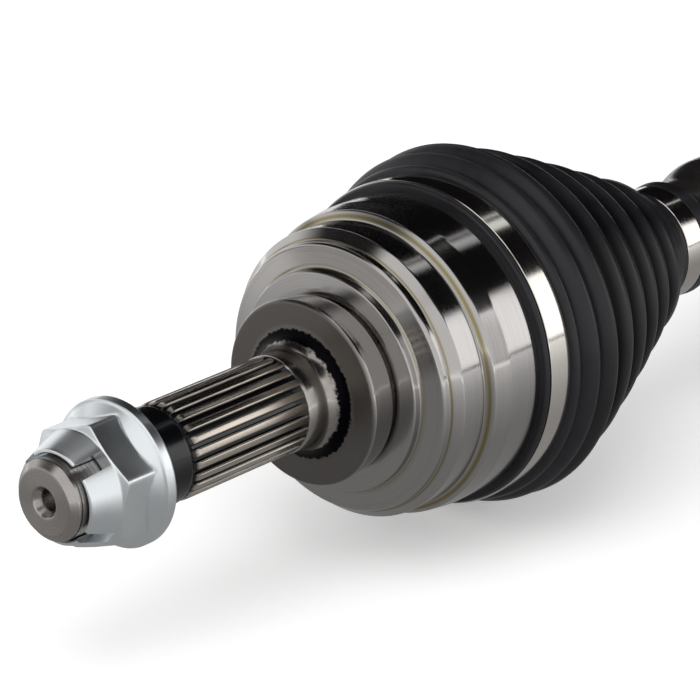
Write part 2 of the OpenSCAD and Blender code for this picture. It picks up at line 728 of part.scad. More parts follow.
module inner_boot() {
    cup_front = cup_mouth_x - 0.3;
    color(rubber)
        turned(concat(inner_line,
            [[inner_neck_end_x, seat_r + seat_clearance], [inner_neck_start_x, seat_r + seat_clearance]],
            lining(inner_line, inner_neck_start_x + 1, cup_front - 2, seat_r + seat_clearance),
            [[cup_front, cup_seat_r + seat_clearance], [inner_lip_x, cup_seat_r + seat_clearance]]));
}

module inner_boot_large_clamp() {
    clamp(inner_band_x + 0.1, inner_band_r, big_clamp_w - 0.3, 35);
}

module inner_boot_small_clamp() {
    clamp(inner_neck_clamp_x, neck_r, small_clamp_w, 35);
}

axle_nut();
outer_race();
outer_cage();
outer_balls();
outer_inner_race();
outer_end_ring();
outer_stop_ring();
outer_boot();
outer_boot_large_clamp();
outer_boot_small_clamp();
tube_shaft();
inner_stop_ring();
inner_end_ring();
inner_inner_race();
inner_balls();
inner_cage();
inner_housing();
inner_mouth_ring();
inner_boot();
inner_boot_large_clamp();
inner_boot_small_clamp();
gearbox_snap_ring();
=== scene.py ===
import math
import bmesh
import bpy
import numpy as np
from mathutils import Matrix, Vector


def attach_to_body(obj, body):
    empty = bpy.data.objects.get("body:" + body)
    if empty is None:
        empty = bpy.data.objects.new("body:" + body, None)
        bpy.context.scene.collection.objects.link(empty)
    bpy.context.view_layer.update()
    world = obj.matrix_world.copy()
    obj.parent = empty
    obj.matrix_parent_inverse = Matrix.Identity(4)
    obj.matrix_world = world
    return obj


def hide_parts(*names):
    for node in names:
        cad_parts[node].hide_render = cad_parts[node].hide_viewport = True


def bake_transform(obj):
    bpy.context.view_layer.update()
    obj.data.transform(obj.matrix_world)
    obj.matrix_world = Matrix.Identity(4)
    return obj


# Front half shaft with its two ball joints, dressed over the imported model.
# Every size in the pieces' dictionaries is in millimetres, along the shaft from the hub shoulder. The studio's
# sizes are in metres.
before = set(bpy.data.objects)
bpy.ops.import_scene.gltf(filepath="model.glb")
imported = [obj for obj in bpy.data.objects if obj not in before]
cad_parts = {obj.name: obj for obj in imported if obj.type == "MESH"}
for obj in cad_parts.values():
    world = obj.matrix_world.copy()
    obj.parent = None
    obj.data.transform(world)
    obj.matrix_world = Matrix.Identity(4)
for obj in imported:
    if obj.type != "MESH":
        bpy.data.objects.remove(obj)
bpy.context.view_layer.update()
scene = bpy.context.scene
mm = 0.001
print("frame loaded:", len(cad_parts), "nodes")


def linearColour(hexCode):
    values = [int(hexCode[i:i + 2], 16) / 255 for i in (1, 3, 5)]
    return tuple(v / 12.92 if v <= 0.04045 else ((v + 0.055) / 1.055) ** 2.4 for v in values) + (1.0,)


# Sets a node's inputs. Each may be a value, a hex colour, another node's socket, or a node for its first output.
def setInputs(tree, node, inputs):
    for key, value in inputs.items():
        if isinstance(value, bpy.types.Node):
            value = value.outputs[0]
        if isinstance(value, bpy.types.NodeSocket):
            tree.links.new(value, node.inputs[key])
        elif isinstance(value, str) and value.startswith("#"):
            node.inputs[key].default_value = linearColour(value)
        else:
            node.inputs[key].default_value = value


def addNode(tree, kind, inputs=None, **settings):
    node = tree.nodes.new(kind)
    for name, value in settings.items():
        setattr(node, name, value)
    setInputs(tree, node, inputs or {})
    return node


# The nodes used most. Each call gives the socket that carries the result.
def maths(tree, operation, a, b=0.5, c=0.5, clamp=False):
    return addNode(tree, "ShaderNodeMath", {0: a, 1: b, 2: c}, operation=operation, use_clamp=clamp).outputs[0]


def mapRange(tree, value, low, high, toLow=0.0, toHigh=1.0, curve="LINEAR"):
    return addNode(tree, "ShaderNodeMapRange", {"Value": value, "From Min": low, "From Max": high, "To Min": toLow,
                                                "To Max": toHigh}, interpolation_type=curve).outputs[0]


def mixColours(tree, factor, first, second):
    return addNode(tree, "ShaderNodeMix", {"Factor": factor, 6: first, 7: second}, data_type="RGBA").outputs[2]


def noise(tree, place, scale, detail, roughness=0.5, dimensions="3D"):
    return addNode(tree, "ShaderNodeTexNoise", {"Vector": place, "Scale": scale, "Detail": detail,
                                                "Roughness": roughness}, noise_dimensions=dimensions).outputs[0]


def emptyMaterial(name):
    material = bpy.data.materials.new(name)
    material.use_nodes = True
    material.node_tree.nodes.clear()
    return material, material.node_tree


def newMaterial(name, shaderInputs):
    material, tree = emptyMaterial(name)
    shader = addNode(tree, "ShaderNodeBsdfPrincipled", shaderInputs)
    addNode(tree, "ShaderNodeOutputMaterial", {"Surface": shader})
    return material, tree, shader


# Position along the shaft, distance from its axis and angle round it, all from Object coordinates.
def shaftCoordinates(tree):
    place = addNode(tree, "ShaderNodeTexCoord").outputs["Object"]
    split = addNode(tree, "ShaderNodeSeparateXYZ", {0: place})
    across = addNode(tree, "ShaderNodeCombineXYZ", {"Y": split.outputs["Y"], "Z": split.outputs["Z"]})
    radius = addNode(tree, "ShaderNodeVectorMath", {0: across}, operation="LENGTH").outputs["Value"]
    return place, split.outputs["X"], radius, maths(tree, "ARCTAN2", split.outputs["Z"], split.outputs["Y"])


def bumpFrom(tree, shader, height, strength, distance):
    setInputs(tree, shader, {"Normal": addNode(tree, "ShaderNodeBump", {
        "Height": height, "Strength": strength, "Distance": distance})})


# Fine rings, as a lathe leaves them along a side or across a face.
def latheRings(tree, along, radius, scale):
    return noise(tree, addNode(tree, "ShaderNodeCombineXYZ", {"X": along, "Y": radius}), scale, 2.0, dimensions="2D")


# Bright machined steel, turned on a lathe: fine rings run round it, so highlights stay sharp round the part.
# Straw bands are the heat tint that grinding leaves beside a step, as (place, half width, strength).
def turnedSteel(name, colour, shade, roughness, ringPitch, ringDepth, straw=()):
    material, tree, shader = newMaterial(name, {"Metallic": 1.0, "Anisotropic": 0.85, "Anisotropic Rotation": 0.25})
    place, along, radius, _ = shaftCoordinates(tree)
    rings = latheRings(tree, along, radius, 1 / (ringPitch * mm))
    tint = mixColours(tree, rings, shade, colour)
    for middle, half, strength in straw:
        away = maths(tree, "ABSOLUTE", maths(tree, "SUBTRACT", along, middle * mm))
        tint = mixColours(tree, mapRange(tree, away, 0.0, half * mm, strength, 0.0, "SMOOTHSTEP"), tint, "#85794a")
    wearAndSheen = maths(tree, "MULTIPLY_ADD", rings, 0.6, noise(tree, place, 60.0, 3.0))
    setInputs(tree, shader, {
        "Base Color": tint, "Tangent": addNode(tree, "ShaderNodeTangent", direction_type="RADIAL", axis="X"),
        "Roughness": mapRange(tree, wearAndSheen, 0.4, 1.2, roughness * 0.75, roughness * 1.3)})
    bumpFrom(tree, shader, rings, 0.3, ringDepth * mm)
    return material


bellSteel = turnedSteel("turnedSteel", "#b8b5b3", "#a9a6a4", 0.14, 0.45, 0.003,
                        [(18.1, 0.45, 0.75), (30.5, 0.6, 0.9), (13.9, 0.4, 0.5)])
housingSteel = turnedSteel("turnedHousingSteel", "#aeaba7", "#95928f", 0.22, 0.6, 0.008)
groundSteel = turnedSteel("groundRaceSteel", "#aeb0b2", "#96989b", 0.15, 0.3, 0.003)
springSteel = turnedSteel("temperedSpringSteel", "#5a5f68", "#43464d", 0.3, 0.4, 0.005)
ballSteel = turnedSteel("lappedBallSteel", "#d4d4d6", "#cbcbcd", 0.06, 0.2, 0.001)

# Rolled thread steel, in a brighter and a greyer tone mixed by fine rings.
threadSteel = turnedSteel("rolledThreadSteel", "#bdbab6", "#93908c", 0.28, 0.3, 0.004)
print("steels made")


# Forging that was turned and then browned by hardening: satin dark grey,
# with a ragged black ring round the neck's fillet.
def hardenedForging():
    material, tree, shader = newMaterial("hardenedForging", {"Metallic": 1.0})
    place, along, radius, _ = shaftCoordinates(tree)
    ragged = noise(tree, place, 700.0, 4.0, 0.6)
    ring = maths(tree, "MULTIPLY_ADD", ragged, 0.0022, radius)
    zones = addNode(tree, "ShaderNodeValToRGB", {"Fac": mapRange(tree, ring, 0.0148, 0.0308)})
    ramp = zones.color_ramp
    for stopPlace, colour in [(0.0, "#b5b0ab"), (0.13, "#9b9691"), (0.16, "#0d0c10"), (0.325, "#0b0b0e"),
                              (0.35, "#716d6a")]:
        stop = ramp.elements.new(stopPlace) if stopPlace > 0 else ramp.elements[0]
        stop.color = linearColour(colour)
    ramp.elements[-1].color = linearColour("#716d6a")
    # the collar's side is turned bright, and its face is left satin
    side = mapRange(tree, along, 0.0002, 0.0009)
    satin = mapRange(tree, side, 0.0, 1.0, mapRange(tree, ring, 0.0165, 0.0175, 0.19, 0.34), 0.09)
    setInputs(tree, shader, {
        "Base Color": mixColours(tree, side, zones.outputs["Color"], "#aaa7a5"),
        "Roughness": maths(tree, "MULTIPLY", satin, mapRange(tree, ragged, 0.3, 0.7, 0.85, 1.2))})
    bumpFrom(tree, shader, latheRings(tree, along, radius, 1800.0), 0.3, 0.000008)
    return material


# Black paint over steel: near black, semi-gloss, with soft waves of the brush and rolled surface under it.
def blackPaint(name, colour, roughness):
    material, tree, shader = newMaterial(name, {"Metallic": 0.35, "Coat Weight": 0.25, "Coat Roughness": 0.2})
    waves = noise(tree, addNode(tree, "ShaderNodeTexCoord").outputs["Object"], 130.0, 5.0, 0.6)
    setInputs(tree, shader, {"Base Color": mixColours(tree, waves, "#0a0a0c", colour),
                             "Roughness": mapRange(tree, waves, 0.3, 0.7, roughness * 0.8, roughness * 1.25)})
    bumpFrom(tree, shader, waves, 0.25, 0.00012)
    return material


# Hobbed spline: the crests are bare beige steel, and the surface is black below them, towards the root.
def splineSteel(name, rootRadius, crestRadius):
    material, tree, shader = newMaterial(name, {})
    place, _, radius, _ = shaftCoordinates(tree)
    scuff = noise(tree, addNode(tree, "ShaderNodeMapping", {"Vector": place, "Scale": (120.0, 1500.0, 1500.0)}),
                  1.0, 3.0)
    bare = mapRange(tree, maths(tree, "MULTIPLY_ADD", scuff, 0.0006, radius), (rootRadius + 0.95) * mm,
                    (crestRadius + 0.2) * mm)
    setInputs(tree, shader, {"Base Color": mixColours(tree, bare, "#060608", "#c2b9ae"), "Metallic": bare,
                             "Roughness": mapRange(tree, scuff, 0.0, 1.0, 0.17, 0.3)})
    bumpFrom(tree, shader, scuff, 0.15, 0.00003)
    return material


# Zinc plate over a forged nut: blue-white metal, cloudy, with small dings from the tumbling barrel and a clear
# passivation film that gives it a second, sharper gloss.
def zincPlate():
    material, tree, shader = newMaterial("zincPlate", {"Metallic": 1.0, "Coat Weight": 0.6, "Coat Roughness": 0.12,
                                                       "Coat IOR": 1.7})
    place = addNode(tree, "ShaderNodeTexCoord").outputs["Object"]
    cloud = noise(tree, place, 110.0, 4.0)
    dings = addNode(tree, "ShaderNodeTexVoronoi", {"Vector": place, "Scale": 330.0, "Randomness": 1.0})
    pits = mapRange(tree, dings.outputs["Distance"], 0.0, 0.25)
    setInputs(tree, shader, {"Base Color": mixColours(tree, cloud, "#e0e6ea", "#f1f5f6"),
                             "Roughness": mapRange(tree, cloud, 0.3, 0.7, 0.27, 0.36)})
    bumpFrom(tree, shader, maths(tree, "MULTIPLY_ADD", pits, 0.25, cloud), 0.2, 0.00002)
    return material


# Moulded rubber: black, with the mould's fine grain. The crowns of the pleats carry a mottled grey painted highlight,
# and the valleys stay black.
def mouldedRubber():
    material, tree, shader = newMaterial("mouldedRubber", {"IOR": 1.5})
    place = addNode(tree, "ShaderNodeTexCoord").outputs["Object"]
    mottleAndSheen = noise(tree, place, 55.0, 5.0, 0.6)
    crown = addNode(tree, "ShaderNodeAttribute", attribute_name="crown").outputs["Fac"]
    wearAndSheen = mapRange(tree, crown, 0.45, 1.0, curve="SMOOTHSTEP")
    # painted highlight: the crowns are greyed in the colour and given a stronger reflection
    setInputs(tree, shader, {
        "Base Color": mixColours(tree, maths(tree, "MULTIPLY", wearAndSheen, mottleAndSheen), "#030304", "#2c2c31"),
        "Specular IOR Level": mapRange(tree, wearAndSheen, 0.0, 1.0, 0.12, 0.36),
        "Roughness": mapRange(tree, mottleAndSheen, 0.3, 0.7, 0.3, 0.42)})
    bumpFrom(tree, shader, noise(tree, place, 1600.0, 2.0), 0.2, 0.00003)
    return material


# Stainless strip, cold rolled: bright and slightly warm, with fine rolling lines that run round the band.
def stainlessBand():
    material, tree, shader = newMaterial("stainlessBand", {"Metallic": 1.0})
    _, along, _, angle = shaftCoordinates(tree)
    wound = addNode(tree, "ShaderNodeCombineXYZ", {"X": maths(tree, "MULTIPLY", along, 2500.0), "Y": angle})
    lines = noise(tree, wound, 1.0, 3.0, 0.6, "2D")
    setInputs(tree, shader, {"Base Color": mixColours(tree, lines, "#d2ccc4", "#e6e1db"),
                             "Roughness": mapRange(tree, lines, 0.0, 1.0, 0.08, 0.16)})
    return material


forging = hardenedForging()
shaftPaint = blackPaint("blackShaftPaint", "#3b3836", 0.22)
landPaint = blackPaint("blackLandPaint", "#101216", 0.16)
zinc = zincPlate()
rubber = mouldedRubber()
bandSteel = stainlessBand()
print("finishes made")


# Rounds the corners of a line of (x, radius) points. Gentle bends stay sharp points.
# A holding point on each side of a corner keeps the shading of a long face flat up to its edge.
def rounded(points, size=0.35, steps=3, hold=0.35):
    line = [points[0]]
    for a, b, c in zip(points, points[1:], points[2:]):
        a, b, c = Vector(a), Vector(b), Vector(c)
        before, after = a - b, c - b
        if before.length < 1e-6 or after.length < 1e-6:
            line.append(tuple(b))
            continue
        gentle = math.degrees(before.angle(-after)) < 20
        cut = 0.0 if gentle else min(size, before.length * 0.45, after.length * 0.45)
        start, end = b + before.normalized() * cut, b + after.normalized() * cut
        if before.length > 2 * (cut + hold):
            line.append(tuple(start + before.normalized() * hold))
        for k in range(1 if gentle else steps + 1):
            t = k / steps
            line.append(tuple(start * (1 - t) ** 2 + b * (2 * t * (1 - t)) + end * t ** 2))
        if after.length > 2 * (cut + hold):
            line.append(tuple(end + after.normalized() * hold))
    return line + [points[-1]]


# Merges seams and poles, turns the faces outwards and keeps edges sharper than an angle.
def finishMesh(mesh, sharpAngle=34):
    bm = bmesh.new()
    bm.from_mesh(mesh)
    bmesh.ops.remove_doubles(bm, verts=bm.verts, dist=2e-6)
    bmesh.ops.dissolve_degenerate(bm, edges=bm.edges, dist=1e-7)
    bmesh.ops.recalc_face_normals(bm, faces=bm.faces)
    bm.to_mesh(mesh)
    bm.free()
    mesh.shade_smooth()
    mesh.set_sharp_from_angle(angle=math.radians(sharpAngle))


def newObject(name, mesh, material):
    mesh.name = name
    mesh.materials.clear()
    mesh.materials.append(material)
    piece = bpy.data.objects.new(name, mesh)
    scene.collection.objects.link(piece)
    return piece


def meshFrom(name, points, faces, material, sharpAngle=34):
    mesh = bpy.data.meshes.new(name)
    mesh.from_pydata([tuple(p) for p in points], [], faces)
    finishMesh(mesh, sharpAngle)
    return newObject(name, mesh, material)


# Quads between rings of points that lie one after another, as a tube or, closed, as a full loop.
def ringFaces(rings, width, closed):
    return [(i * width + j, i * width + (j + 1) % width, (i + 1) % rings * width + (j + 1) % width,
             (i + 1) % rings * width + j) for i in range(rings if closed else rings - 1) for j in range(width)]


# Turns a line of (x, radius) points round the axis. shape may change the radius by place and angle.
def turned(name, line, material, segments=256, shape=None, sharpAngle=34):
    x = np.array([p[0] for p in line])[:, None] * np.ones(segments)
    radius = np.array([p[1] for p in line])[:, None] * np.ones(segments)
    angle = np.ones(len(line))[:, None] * np.linspace(0, 2 * math.pi, segments, endpoint=False)
    if shape:
        radius = shape(x, radius, angle)
    points = np.stack([x, radius * np.cos(angle), radius * np.sin(angle)], -1).reshape(-1, 3) * mm
    faces = ringFaces(len(line), segments, line[0][1] > 0 or line[-1][1] > 0)
    return meshFrom(name, points.tolist(), faces, material, sharpAngle)


# Attaches a finished piece to the body it moves with and hides the CAD nodes it stands for. Its slot, the record's
# finish, is not used.
def attach(piece, body, slot, *nodes):
    if nodes:
        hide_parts(*nodes)
    if body:
        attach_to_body(piece, body)
    return piece


# Geometry Nodes

def newTree(name, sockets):
    tree = bpy.data.node_groups.new(name, "GeometryNodeTree")
    tree.interface.new_socket("Geometry", in_out="INPUT", socket_type="NodeSocketGeometry")
    tree.interface.new_socket("Geometry", in_out="OUTPUT", socket_type="NodeSocketGeometry")
    for label, kind in sockets:
        tree.interface.new_socket(label, in_out="INPUT", socket_type="NodeSocket" + kind)
    return tree, addNode(tree, "NodeGroupInput").outputs


def closeTree(tree, geometry, material):
    whole = addNode(tree, "GeometryNodeRealizeInstances", {"Geometry": geometry})
    painted = addNode(tree, "GeometryNodeSetMaterial", {"Geometry": whole, "Material": material})
    addNode(tree, "NodeGroupOutput", {0: painted})


# Repeats one tooth or rib evenly round the shaft's axis.
def repeatRoundTree():
    tree, given = newTree("repeatRound", [("Count", "Int"), ("Material", "Material")])
    places = addNode(tree, "GeometryNodeMeshLine", {"Count": given["Count"], "Offset": (0, 0, 0)})
    step = maths(tree, "DIVIDE", 2 * math.pi, given["Count"])
    turn = maths(tree, "MULTIPLY", addNode(tree, "GeometryNodeInputIndex"), step)
    copies = addNode(tree, "GeometryNodeInstanceOnPoints", {
        "Points": places, "Instance": given["Geometry"],
        "Rotation": addNode(tree, "ShaderNodeCombineXYZ", {"X": turn})})
    closeTree(tree, copies, given["Material"])
    return tree


# Sweeps a thread's profile along a helix about the shaft, fading out at both ends.
def threadTree():
    tree, given = newTree("helicalThread", [("Turns", "Float"), ("Root Radius", "Float"), ("Length", "Float"),
                                            ("Start", "Float"), ("Fade", "Float"), ("Material", "Material")])
    helix = addNode(tree, "GeometryNodeCurveSpiral", {
        "Resolution": 96, "Rotations": given["Turns"], "Start Radius": given["Root Radius"],
        "End Radius": given["Root Radius"], "Height": given["Length"]})
    upright = addNode(tree, "GeometryNodeSetCurveNormal", {"Curve": helix}, mode="Z_UP")
    share = addNode(tree, "GeometryNodeSplineParameter").outputs["Factor"]
    fadeIn = maths(tree, "DIVIDE", share, given["Fade"], clamp=True)
    fadeOut = maths(tree, "DIVIDE", maths(tree, "SUBTRACT", 1.0, share), given["Fade"], clamp=True)
    fade = maths(tree, "MULTIPLY", fadeIn, fadeOut)
    ridge = addNode(tree, "GeometryNodeCurveToMesh", {
        "Curve": upright, "Profile Curve": addNode(tree, "GeometryNodeMeshToCurve", {"Mesh": given["Geometry"]}),
        "Scale": fade, "Fill Caps": True})
    laid = addNode(tree, "GeometryNodeTransform", {
        "Geometry": ridge, "Translation": addNode(tree, "ShaderNodeCombineXYZ", {"X": given["Start"]}),
        "Rotation": (0, math.pi / 2, 0)})
    closeTree(tree, laid, given["Material"])
    return tree


# Lays pleats in the profile of a boot and turns it round the shaft. The profile holds (radius, place along) in metres.
# The crest number grows along the boot as the spacing shrinks evenly to a share of the first one. The height within
# a pleat is kept as the attribute "crown" for the painted highlight on the rubber's crowns.
def bootTree():
    tree, given = newTree("pleatedBoot", [
        ("First Crest", "Float"), ("Pleated Length", "Float"), ("Crests", "Float"), ("Last Spacing", "Float"),
        ("Pleat Depth", "Float"), ("Crest Roundness", "Float"), ("Segments", "Int"), ("Material", "Material")])

    def calc(*inputs, clamp=False):
        return maths(tree, *inputs, clamp=clamp)

    place = addNode(tree, "ShaderNodeSeparateXYZ", {0: addNode(tree, "GeometryNodeInputPosition")})
    share = calc("DIVIDE", calc("SUBTRACT", place.outputs["Y"], given["First Crest"]), given["Pleated Length"],
                 clamp=True)
    spaces = calc("SUBTRACT", given["Crests"], 1.0)
    shrink = calc("DIVIDE", calc("SUBTRACT", 1.0, given["Last Spacing"]),
                  calc("MULTIPLY", calc("SUBTRACT", spaces, 1.0), 2.0))
    slope = calc("ADD", shrink, 1.0)
    whole = calc("MULTIPLY", spaces, calc("SUBTRACT", slope, calc("MULTIPLY", shrink, spaces)))
    inside = calc("SUBTRACT", calc("MULTIPLY", slope, slope),
                  calc("MULTIPLY", calc("MULTIPLY", shrink, 4.0), calc("MULTIPLY", share, whole)))
    crest = calc("DIVIDE", calc("SUBTRACT", slope, calc("SQRT", inside)), calc("MULTIPLY", shrink, 2.0))
    swing = calc("COSINE", calc("MULTIPLY", crest, math.pi))
    height = calc("POWER", calc("MULTIPLY", swing, swing), given["Crest Roundness"])
    dip = calc("MULTIPLY", calc("SUBTRACT", height, 1.0), given["Pleat Depth"])
    crowned = addNode(tree, "GeometryNodeStoreNamedAttribute", {"Geometry": given["Geometry"], "Name": "crown",
                                                               "Value": height}, data_type="FLOAT", domain="POINT")
    spread = addNode(tree, "ShaderNodeCombineXYZ", {"X": calc("SUBTRACT", calc("ADD", place.outputs["X"], dip), 0.001),
                                                    "Y": calc("MULTIPLY", place.outputs["Y"], -1.0)})
    profile = addNode(tree, "GeometryNodeSetPosition", {"Geometry": crowned, "Position": spread})
    circle = addNode(tree, "GeometryNodeCurvePrimitiveCircle", {"Resolution": given["Segments"], "Radius": 0.001})
    upright = addNode(tree, "GeometryNodeSetCurveNormal", {"Curve": circle}, mode="Z_UP")
    skin = addNode(tree, "GeometryNodeCurveToMesh", {
        "Curve": upright, "Profile Curve": addNode(tree, "GeometryNodeMeshToCurve", {"Mesh": profile})})
    laid = addNode(tree, "GeometryNodeTransform", {"Geometry": skin, "Rotation": (0, math.pi / 2, 0)})
    closeTree(tree, laid, given["Material"])
    return tree


# Puts a tree on a piece, sets its inputs by their identifiers and turns the result into a plain mesh.
def grow(piece, tree, values, sharpAngle=34):
    modifier = piece.modifiers.new(tree.name, "NODES")
    modifier.node_group = tree
    for item in tree.interface.items_tree:
        if item.item_type == "SOCKET" and item.in_out == "INPUT" and item.name in values:
            modifier[item.identifier] = values[item.name]
    made = bpy.data.meshes.new_from_object(piece.evaluated_get(bpy.context.evaluated_depsgraph_get()))
    piece.modifiers.remove(modifier)
    seed = piece.data
    piece.data = made
    bpy.data.meshes.remove(seed)
    made.name = piece.name
    finishMesh(made, sharpAngle)
    return piece


def loopPiece(name, points, material):
    mesh = bpy.data.meshes.new(name)
    count = len(points)
    mesh.from_pydata(points, [(i, (i + 1) % count) for i in range(count)], [])
    return newObject(name, mesh, material)


repeatRound, helicalThread, pleatedBoot = repeatRoundTree(), threadTree(), bootTree()
print("node trees made")

# Wheel stub: centre hole, thread core, painted land and the core under the spline.
stub = {"end": -100.7, "chamfer": 2.5, "holeRadius": 4.36, "holeBore": 3.1, "holeDepth": 9.0,
        "threadRoot": 11.3, "threadCrest": 11.98, "threadEnd": -71.5, "pitch": 1.5,
        "landRadius": 14.1, "landEnd": -58.5, "splineEnd": -11.5, "rootRadius": 12.9, "crestRadius": 14.2,
        "neckRadius": 14.5, "teeth": 24, "runOut": 3.5}


def makeStub(s):
    end, steel = s["end"], turnedSteel("facedStubSteel", "#bab5b1", "#a39e9a", 0.27, 0.35, 0.008)
    core = rounded([(end + s["holeDepth"] + 1.8, 0), (end + s["holeDepth"], s["holeBore"]),
                    (end + 2.4, s["holeBore"]), (end + 0.2, s["holeRadius"] - 0.1), (end, s["holeRadius"] + 0.25),
                    (end, s["threadCrest"] - s["chamfer"]), (end + s["chamfer"] - 0.5, s["threadCrest"] - 0.4),
                    (end + s["chamfer"] + 0.7, s["threadRoot"]), (s["threadEnd"] + 0.3, s["threadRoot"]),
                    (s["threadEnd"] + 0.3, 0)], 0.3)
    attach(turned("wheelStubEnd", core, steel), "outer_joint", "hardened_steel", "outer_race")
    land = rounded([(s["threadEnd"], 0), (s["threadEnd"], s["landRadius"] - 0.9),
                    (s["threadEnd"] + 0.7, s["landRadius"]), (s["landEnd"] - 0.4, s["landRadius"]),
                    (s["landEnd"] + 1.4, s["rootRadius"] + 0.05), (s["splineEnd"] - 3.6, s["rootRadius"]),
                    (s["splineEnd"] - 2.0, s["rootRadius"] + 0.35), (s["splineEnd"] - 0.6, s["neckRadius"] - 0.4),
                    (s["splineEnd"], s["neckRadius"] - 0.02), (s["splineEnd"] + 1.0, 0)], 0.5)
    attach(turned("wheelStubLand", land, landPaint), "outer_joint", "hardened_steel", "outer_race")
    # one ridge of the thread, swept along its helix
    half, height = s["pitch"] * 0.46 * mm, (s["threadCrest"] - s["threadRoot"]) * mm
    ridge = loopPiece("axleThread", [(-0.3 * mm, -half, 0), (height, -half * 0.18, 0), (height, half * 0.18, 0),
                                     (-0.3 * mm, half, 0)], threadSteel)
    start, length = end + s["chamfer"] - 0.6, s["threadEnd"] - end - s["chamfer"] - 1.4
    grow(ridge, helicalThread, {"Turns": length / s["pitch"], "Root Radius": s["threadRoot"] * mm,
                                "Length": length * mm, "Start": start * mm, "Fade": 0.03, "Material": threadSteel})
    attach(ridge, "outer_joint", "hardened_steel", "outer_race")


# One spline tooth: sloped flanks, a slightly round crest and ends that run out to the root.
def toothPiece(name, x0, x1, root, crest, count, runLow, runHigh, material):
    step = 2 * math.pi / count
    section = [(-0.42, root - 0.4), (-0.37, root + 0.05), (-0.26, crest - 0.16), (-0.22, crest - 0.04),
               (-0.16, crest), (0.16, crest), (0.22, crest - 0.04), (0.26, crest - 0.16), (0.37, root + 0.05),
               (0.42, root - 0.4)]
    stations = [(x0, 0.0)] + [(x0 + runLow * t, math.sin(t * math.pi / 2) ** 0.8) for t in (0.15, 0.35, 0.6, 0.8)]
    stations += [(x0 + runLow, 1.0), (x1 - runHigh, 1.0)]
    stations += [(x1 - runHigh * (1 - t), math.cos(t * math.pi / 2) ** 0.8) for t in (0.25, 0.5, 0.75)] + [(x1, 0.0)]
    points, width = [], len(section)
    for x, share in stations:
        for turn, radius in section:
            r = min(radius, root - 0.35 + (crest + 0.37 - root) * share)
            points.append((x * mm, r * math.cos(turn * step) * mm, r * math.sin(turn * step) * mm))
    faces = ringFaces(len(stations), width, False)
    faces += [tuple(range(width)), tuple((len(stations) - 1) * width + j for j in range(width))]
    piece = newObject(name, bpy.data.meshes.new(name), material)
    piece.data.from_pydata(points, [], faces)
    return grow(piece, repeatRound, {"Count": count, "Material": material}, 40)


makeStub(stub)
wheelTeeth = toothPiece("wheelSplineTeeth", stub["landEnd"] + 0.4, stub["splineEnd"] + 0.8, stub["rootRadius"],
                        stub["crestRadius"], stub["teeth"], stub["runOut"], 0.6,
                        splineSteel("hobbedSplineSteel", stub["rootRadius"], stub["crestRadius"]))
attach(wheelTeeth, "outer_joint", "hardened_steel", "outer_race")
print("wheel stub made")

# Bell of the outer joint. The cavity is a sphere with six curved ball tracks and a mouth flared for the bent shaft.
bell = {"centre": 40.0, "mouth": 64.0, "sphere": 33.7, "pitch": 30.5, "track": 10.0, "reach": 40.0, "balls": 6,
        "flareStart": 12.0, "bend": 42.0, "shaftRadius": 13.0, "shaftRoom": 1.0}


def curvedTracks(spec):
    def shape(x, radius, angle):
        step = 2 * math.pi / spec["balls"]
        off = (angle + step / 2) % step - step / 2
        along = x - spec["centre"]
        best = radius.copy()
        # only the cavity is cut, and the outermost point inside a track's tube gives its depth
        inner = (radius > 0) & (radius < spec["sphere"] + 9.5) & (along > -26) & spec["cavity"][:, None]
        for r in np.arange(spec["sphere"] - 16, spec["pitch"] + spec["track"] + 0.1, 0.06):
            plane = np.hypot(along, r * np.cos(off))
            hit = np.hypot(plane - spec["pitch"], r * np.sin(off)) < spec["track"]
            hit &= np.degrees(np.arctan2(np.abs(along), r * np.cos(off))) <= spec["reach"]
            best = np.where(inner & hit & (r > best), r, best)
        return best
    return shape


def makeBell(b):
    outside = rounded([(9.6, 24.6), (10.8, 24.6), (10.85, 27.8), (11.3, 32.5), (13.6, 32.8), (14.1, 33.6), (15.4, 39.3),
                       (16, 39.9), (17.8, 40.0), (18.0, 40.4), (20.6, 43.0), (29.1, 43.0), (29.25, 42.6),
                       (29.85, 42.6), (30.0, 43.0), (31.4, 45.4), (37.8, 46.2), (48.5, 46.2), (48.7, 45.8),
                       (63.0, 45.8), (64.0, 44.9)], 0.3)
    tilt, reach = math.radians(b["bend"]), b["mouth"] - b["centre"]

    # radius that the bent shaft sweeps, at a distance behind the joint's centre
    def bent(behind):
        return (behind + b["shaftRadius"] * math.sin(tilt)) * math.tan(tilt) + b["shaftRadius"] * math.cos(tilt) \
            + b["shaftRoom"]

    cavity = [(b["mouth"], bent(reach) - 0.1)]
    cavity += [(b["centre"] + k, bent(k)) for k in np.linspace(reach - 1, b["flareStart"], 8)
               if bent(k) > math.sqrt(max(b["sphere"] ** 2 - k ** 2, 0))]
    first = cavity[-1][0] - b["centre"]
    cavity += [(b["centre"] + b["sphere"] * math.cos(t), b["sphere"] * math.sin(t))
               for t in np.linspace(math.acos(first / b["sphere"]) + 0.02, math.pi, 64)]
    cavity[-1] = (b["centre"] - b["sphere"], 0)
    inside = [(3.0, 0), (3.0, 20), (9.4, 23.8)]
    line = inside + outside + cavity
    b["cavity"] = np.arange(len(line)) >= len(inside + outside)
    piece = turned("bellShell", line, bellSteel, 288, curvedTracks(b))
    attach(piece, "outer_joint", "turned_bell", "outer_race")


# Neck and shoulder collar: the ragged black ring round the fillet and the satin face come from the forging's finish.
def makeCollar():
    fillet = [(-6 + 6 * math.sin(a), 14.5 + 6 * (1 - math.cos(a))) for a in np.radians(np.arange(0, 91, 7.5))]
    line = [(-12.5, 0), (-12.5, 13.7), (-11.9, 14.3), (-11.1, 14.5)] + fillet
    line += rounded([(0, 20.6), (0, 26.7), (0.8, 27.5), (9, 26.5), (9.7, 25.9), (10, 24.7), (10, 0)], 0.3)
    attach(turned("neckAndCollar", line, forging, 288), "outer_joint", "turned_bell", "outer_race")


makeBell(bell)
makeCollar()
print("bell made")

